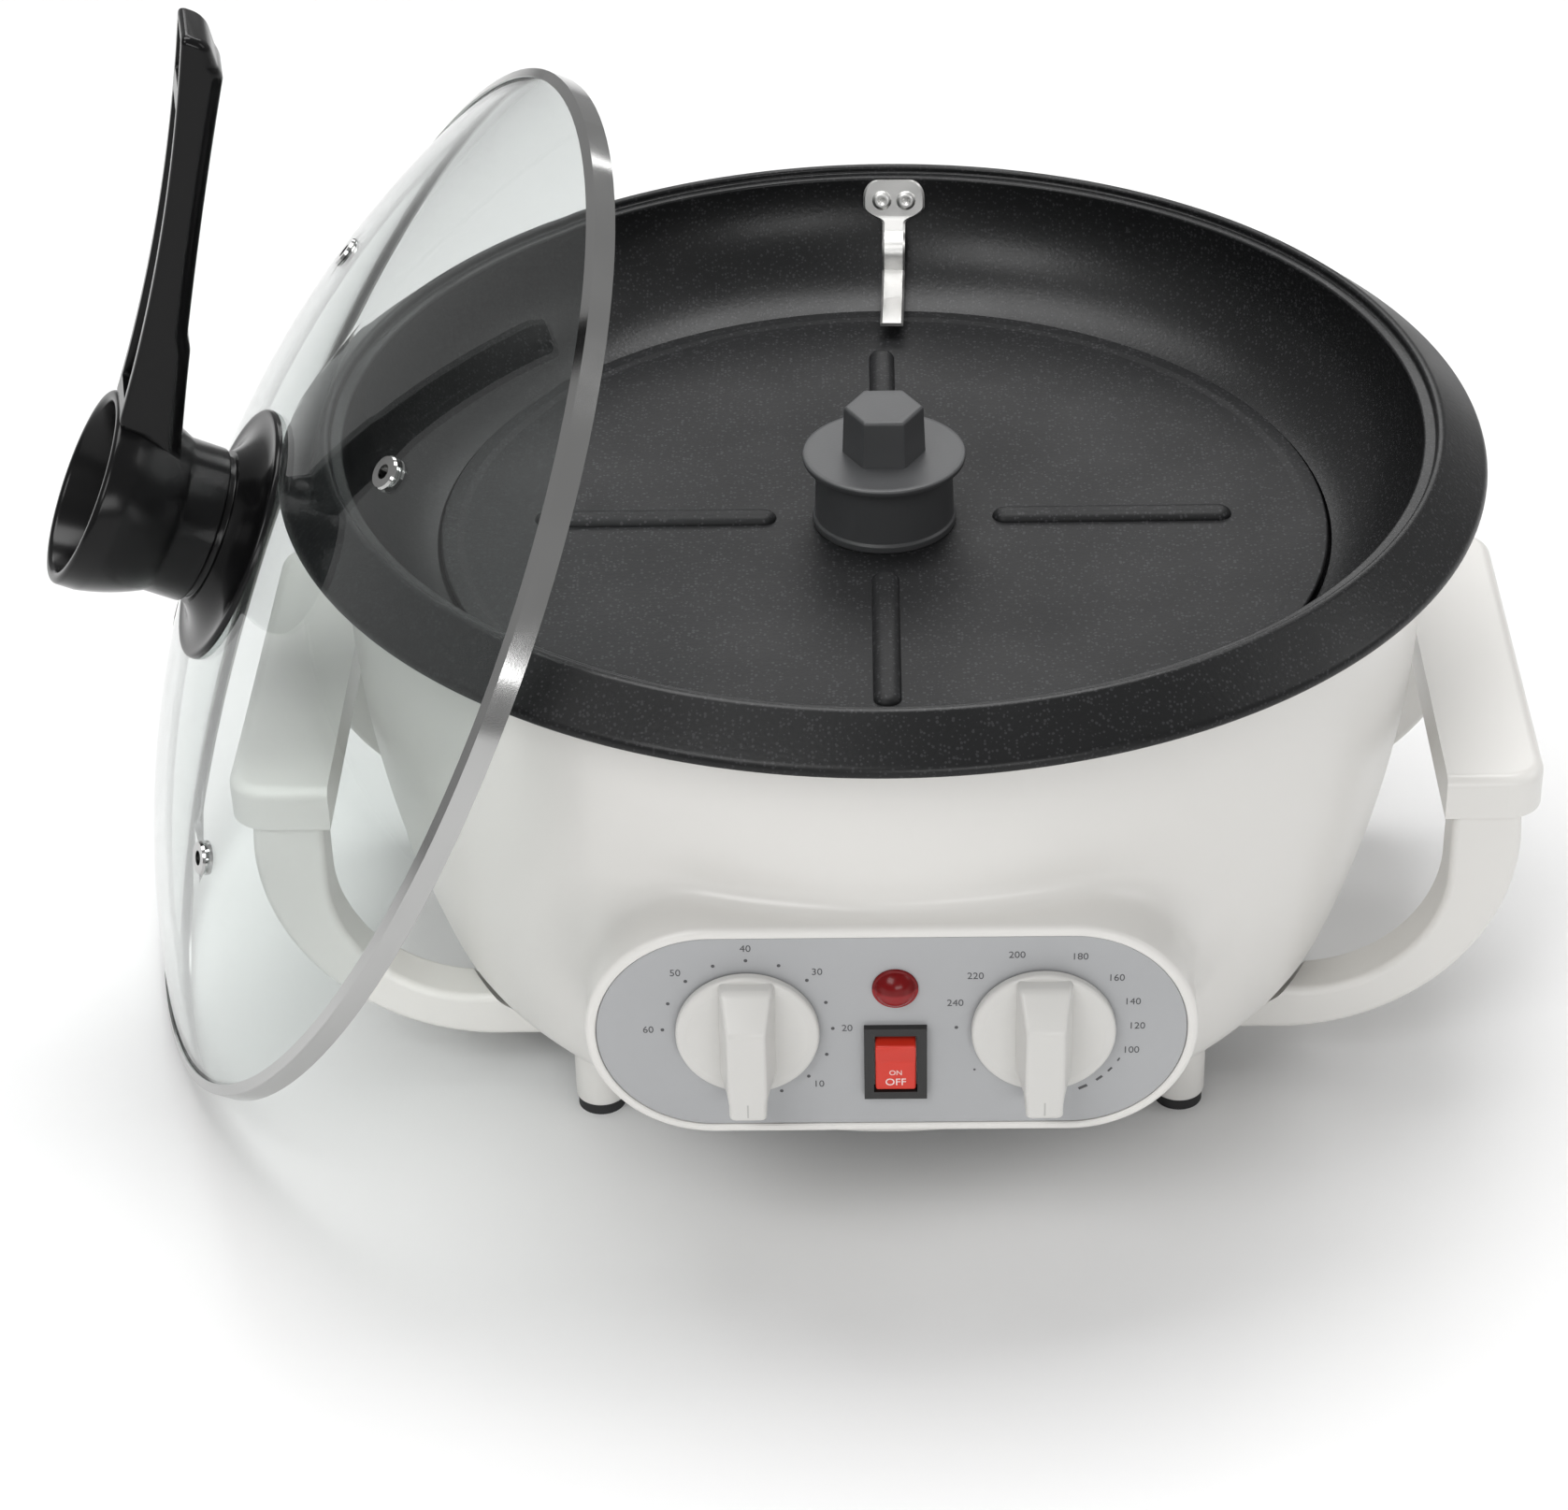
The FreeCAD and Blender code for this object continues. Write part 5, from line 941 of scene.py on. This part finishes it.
lens_outline += rounded([lens_outline[-1], (lens_flange, 0), (lens_flange, 0.0007, 0.0003), dome_foot],
                        4)[1:]
lens_outline += arc(dome_foot, (0, lens_top), 0.0056, 16)
piece("pilot_lamp_lens", *turned(lens_outline, 96), lens_red, "base", "lamp_lens", ["lamp_lens"],
      on_fascia(controls_shift, lamp_height))
black_plastic = moulded("black switch plastic", (0.012, 0.012, 0.012), 0.3, 0.42, 0.00003)
dress(black_plastic, "lamp_holder")


# ---- Mains switch ----
# A black moulded case with a bevelled bezel, clipped into the fascia. The translucent red rocker has
# a hollow face, printed ON and OFF in white on its lower half.
dress(black_plastic, "switch_body")
rocker_red = moulded("red rocker plastic", (0.62, 0.03, 0.014), 0.29, 0.37, 0.00001,
                     Subsurface_Weight=0.1, Subsurface_Scale=0.001)
rocker_pivot, rocker_tilt = (controls_shift, -0.1425, 0.0724), math.radians(8)
rocker_place = Matrix.Translation(rocker_pivot) @ Matrix.Rotation(math.pi / 2 + rocker_tilt, 4, "X")
rocker_half_width, rocker_reach, rocker_edge = 0.00485, 0.0074, 0.0006
rocker_rise, valley_rise, valley_up = 0.0056, 0.0045, 0.0012
rocker_outline = arc((-rocker_reach, 0), (rocker_reach, 0), rocker_reach, 24)
rocker_outline += rounded([(rocker_reach, 0), (rocker_reach, rocker_rise, rocker_edge),
                           (valley_up, valley_rise, 0.006), (-rocker_reach, rocker_rise, rocker_edge),
                           (-rocker_reach, 0)], 8)[1:]
rocker_rings = []
for across, inset in round_ended(-rocker_half_width, rocker_half_width, rocker_edge, 4):
    shrink = 1 - inset / rocker_reach
    rocker_rings.append([(across, point.x * shrink, point.y * shrink) for point in rocker_outline])
piece("switch_rocker_moulded", *stacked(rocker_rings), rocker_red, "rocker", "rocker_plastic",
      ["switch_rocker"], rocker_place, sharp=45)

rocker_ink = finish("white rocker ink", (0.8, 0.72, 0.7), 0.5)
tinted(rocker_ink, effect(rocker_ink, mould_grain, Grain=2500), (0.7, 0.5, 0.48), (0.85, 0.8, 0.78))
face_slope = (rocker_rise - valley_rise) / (rocker_reach + valley_up)
face_lean = Matrix.Rotation(-math.atan(face_slope), 4, "X")
words = []
for text, down, height in (("ON", 0.0021, 0.002), ("OFF", 0.0049, 0.0029)):
    rise = valley_rise + (down + valley_up) * face_slope + 0.00003
    words.append(moved(Matrix.Translation((0, -down, rise)) @ face_lean, lettering(text, height)))
piece("switch_words", *joined(words), rocker_ink, "rocker", "rocker_plastic", [], rocker_place)


# ---- Lid glass, band and eyelets ----
# A dome of clear tempered glass in a rolled band of polished steel, with four steel eyelets as
# vents. It stands on its rim and leans on the pan's flange, with its handle outwards.
glass = finish("clear lid glass", (0.73, 0.76, 0.75), 0.0, Transmission_Weight=1.0, IOR=1.5,
               Specular_IOR_Level=0.2)
glossed(glass, 14, 0.0, 0.012)
glass_tree = glass.node_tree
to_lamp = step(glass_tree, "ShaderNodeLightPath", {})
see_through = step(glass_tree, "ShaderNodeBsdfTransparent", {"Color": (0.95, 0.965, 0.96, 1)})
lit_glass = step(glass_tree, "ShaderNodeMixShader", {
    0: to_lamp["Is Shadow Ray"], 1: glass_tree.nodes["Principled BSDF"].outputs["BSDF"],
    2: see_through["BSDF"]})
glass_tree.links.new(lit_glass["Shader"], glass_tree.nodes["Material Output"].inputs["Surface"])
dress(glass, "lid_glass")
band_steel = metal("polished band steel", (0.46, 0.46, 0.455), 0.07, 0.15, 60, 2200, 0.000004, 0.94)
dress(band_steel, "lid_band", "vent_eyelets")


# ---- Lid handle, its washer and its screw ----
# One black moulding: a foot that flares over the glass, a grooved neck, a hollow cup and a long arm
# that rises from the cup's side, with a channel down its back and a thumb hollow at its tip. A steel
# screw and a broad washer hold it from inside the glass.
lid_rim_middle = Vector((-0.13071, -0.00818, 0.12354))
lid_lean, lid_turn = math.radians(27.29), math.radians(10.22)
lid_place = Matrix.Translation(lid_rim_middle) @ Matrix.Rotation(lid_turn, 4, "Z") @ \
    Matrix.Rotation(lid_lean - math.pi / 2, 4, "Y")
handle_black = moulded("polished black plastic", (0.004, 0.004, 0.0042), 0.15, 0.24, 0.000004,
                       Specular_IOR_Level=0.22)

foot_radius, neck_radius, cup_radius = 0.0335, 0.0205, 0.0258
foot_low, foot_middle, dome_radius = 0.0422, 0.0443, 0.2643
foot_edge, flare_end = (foot_radius, foot_low), (0.0325, 0.0438)
groove_radius, groove_foot, groove_top, neck_top = 0.0189, 0.0486, 0.0506, 0.060
cup_full, cup_rim, cup_floor, cup_floor_radius, cup_wall = 0.077, 0.083, 0.066, 0.0193, 0.003
groove_corner, neck_corner = (neck_radius, groove_foot), (neck_radius, neck_top)
cup_corner = (cup_radius, cup_full)
handle_outline = [Vector((0, foot_middle)), *arc((0, foot_middle), foot_edge, -dome_radius, 12)]
handle_outline += rounded([foot_edge, (foot_radius, 0.0436, 0.0009), flare_end], 5)[1:]
handle_outline += arc(flare_end, groove_corner, -0.0125, 14)
handle_outline += rounded([groove_corner, (groove_radius, groove_foot, 0.0004),
                           (groove_radius, groove_top, 0.0004), (neck_radius, groove_top, 0.0006),
                           neck_corner], 5)[1:]
handle_outline += arc(neck_corner, cup_corner, 0.060, 12)
handle_outline += rounded([cup_corner, (cup_radius, cup_rim, 0.0014),
                           (cup_radius - cup_wall, cup_rim, 0.0014),
                           (cup_floor_radius, cup_floor, 0.003), (0, cup_floor)], 7)[1:]

arm_start, arm_end, arm_half = 0.0206, 0.1268, 0.010
channel_start, channel_end, channel_half = 0.030, 0.107, 0.0064
hollow_start, hollow_end, hollow_depth = 0.1125, 0.1242, 0.0052
shallowest = 0.00002
inner_start, inner_end, inner_foot, inner_rise, inner_bow = 0.020, 0.117, 0.0656, 0.2757, 0.4
outer_start, outer_end, outer_foot, outer_rise, outer_bow = 0.0205, 0.063, 0.0823, 0.1576, 1.124
swell_start, swell_end, swell_depth = 0.053, 0.048, 0.0011
tip_start, tip_slope, tip_easing = 0.1185, 0.6, 0.003
root_low, root_slope = 0.0675, 5.2


def arm_inner(up):
    """The height of the arm's side towards the glass, at a distance up the lid."""
    along = up - inner_start
    height = inner_foot + inner_rise * along + inner_bow * along * (inner_end - up)
    swell = swell_depth * eased((swell_start - up) / (swell_start - swell_end))
    tip = max(0, up - tip_start)
    return height - swell + tip_slope * tip * min(1, tip / tip_easing)


def arm_outer(up):
    """The height of the arm's outer side."""
    along = up - outer_start
    height = outer_foot + outer_rise * along + outer_bow * along * (up - outer_end)
    return min(height, root_low + (up - arm_start) * root_slope)


def arm_hollow(up):
    """How deep the channel or the thumb hollow is."""
    if channel_start < up < channel_end:
        ends = min(up - channel_start, channel_end - up)
        return (arm_outer(up) - arm_inner(up) - 0.005) * min(1, ends / 0.0012)
    if hollow_start < up < hollow_end:
        share = (up - hollow_start) / (hollow_end - hollow_start)
        return hollow_depth * min(1, share * 6) * math.cos(share * math.pi / 2) ** 0.5
    return shallowest


def arm_section(up, inset):
    """The arm's outline across, drawn in by the inset."""
    low, high = arm_inner(up) + inset, arm_outer(up) - inset
    half, mouth = arm_half - inset, channel_half - inset
    floor, floor_half = high - max(shallowest, arm_hollow(up) - inset), mouth - 0.0007
    low_round = min(0.0042, 0.45 * (high - low))
    corners = [(-half, low, low_round), (half, low, low_round), (half, high, 0.0013),
               (mouth, high, 0.0003), (floor_half, floor, 0.0003), (-floor_half, floor, 0.0003),
               (-mouth, high, 0.0003), (-half, high, 0.0013)]
    return [(up, point.x, point.y) for point in rounded(corners, 6)]


root_end, tip_round = 0.0233, 0.002
arm_stations = evenly(arm_start, root_end, 3) + evenly(root_end, channel_start, 4)[1:]
arm_stations += evenly(channel_start, channel_start + 0.0012, 4)[1:]
arm_stations += evenly(channel_start + 0.0015, channel_end - 0.0015, 60)
arm_stations += evenly(channel_end - 0.0012, channel_end, 4)
arm_stations += evenly(hollow_start, arm_end - tip_round, 48)
arm_rings = [arm_section(up, 0) for up in arm_stations]
arm_rings += [arm_section(arm_end - tip_round * (1 - math.sin(turn)), 0.0019 * (1 - math.cos(turn)))
              for turn in evenly(0, math.pi / 2, 6)[1:]]
piece("lid_handle_cup", *moved(lid_place, turned(handle_outline, 192)), handle_black, "lid",
      "lid_handle_plastic", ["lid_handle"])
piece("lid_handle_arm", *moved(lid_place, stacked(arm_rings)), handle_black, "lid",
      "lid_handle_plastic", ["lid_handle"], sharp=38)
dress(zinc, "lid_washer", "lid_screw")
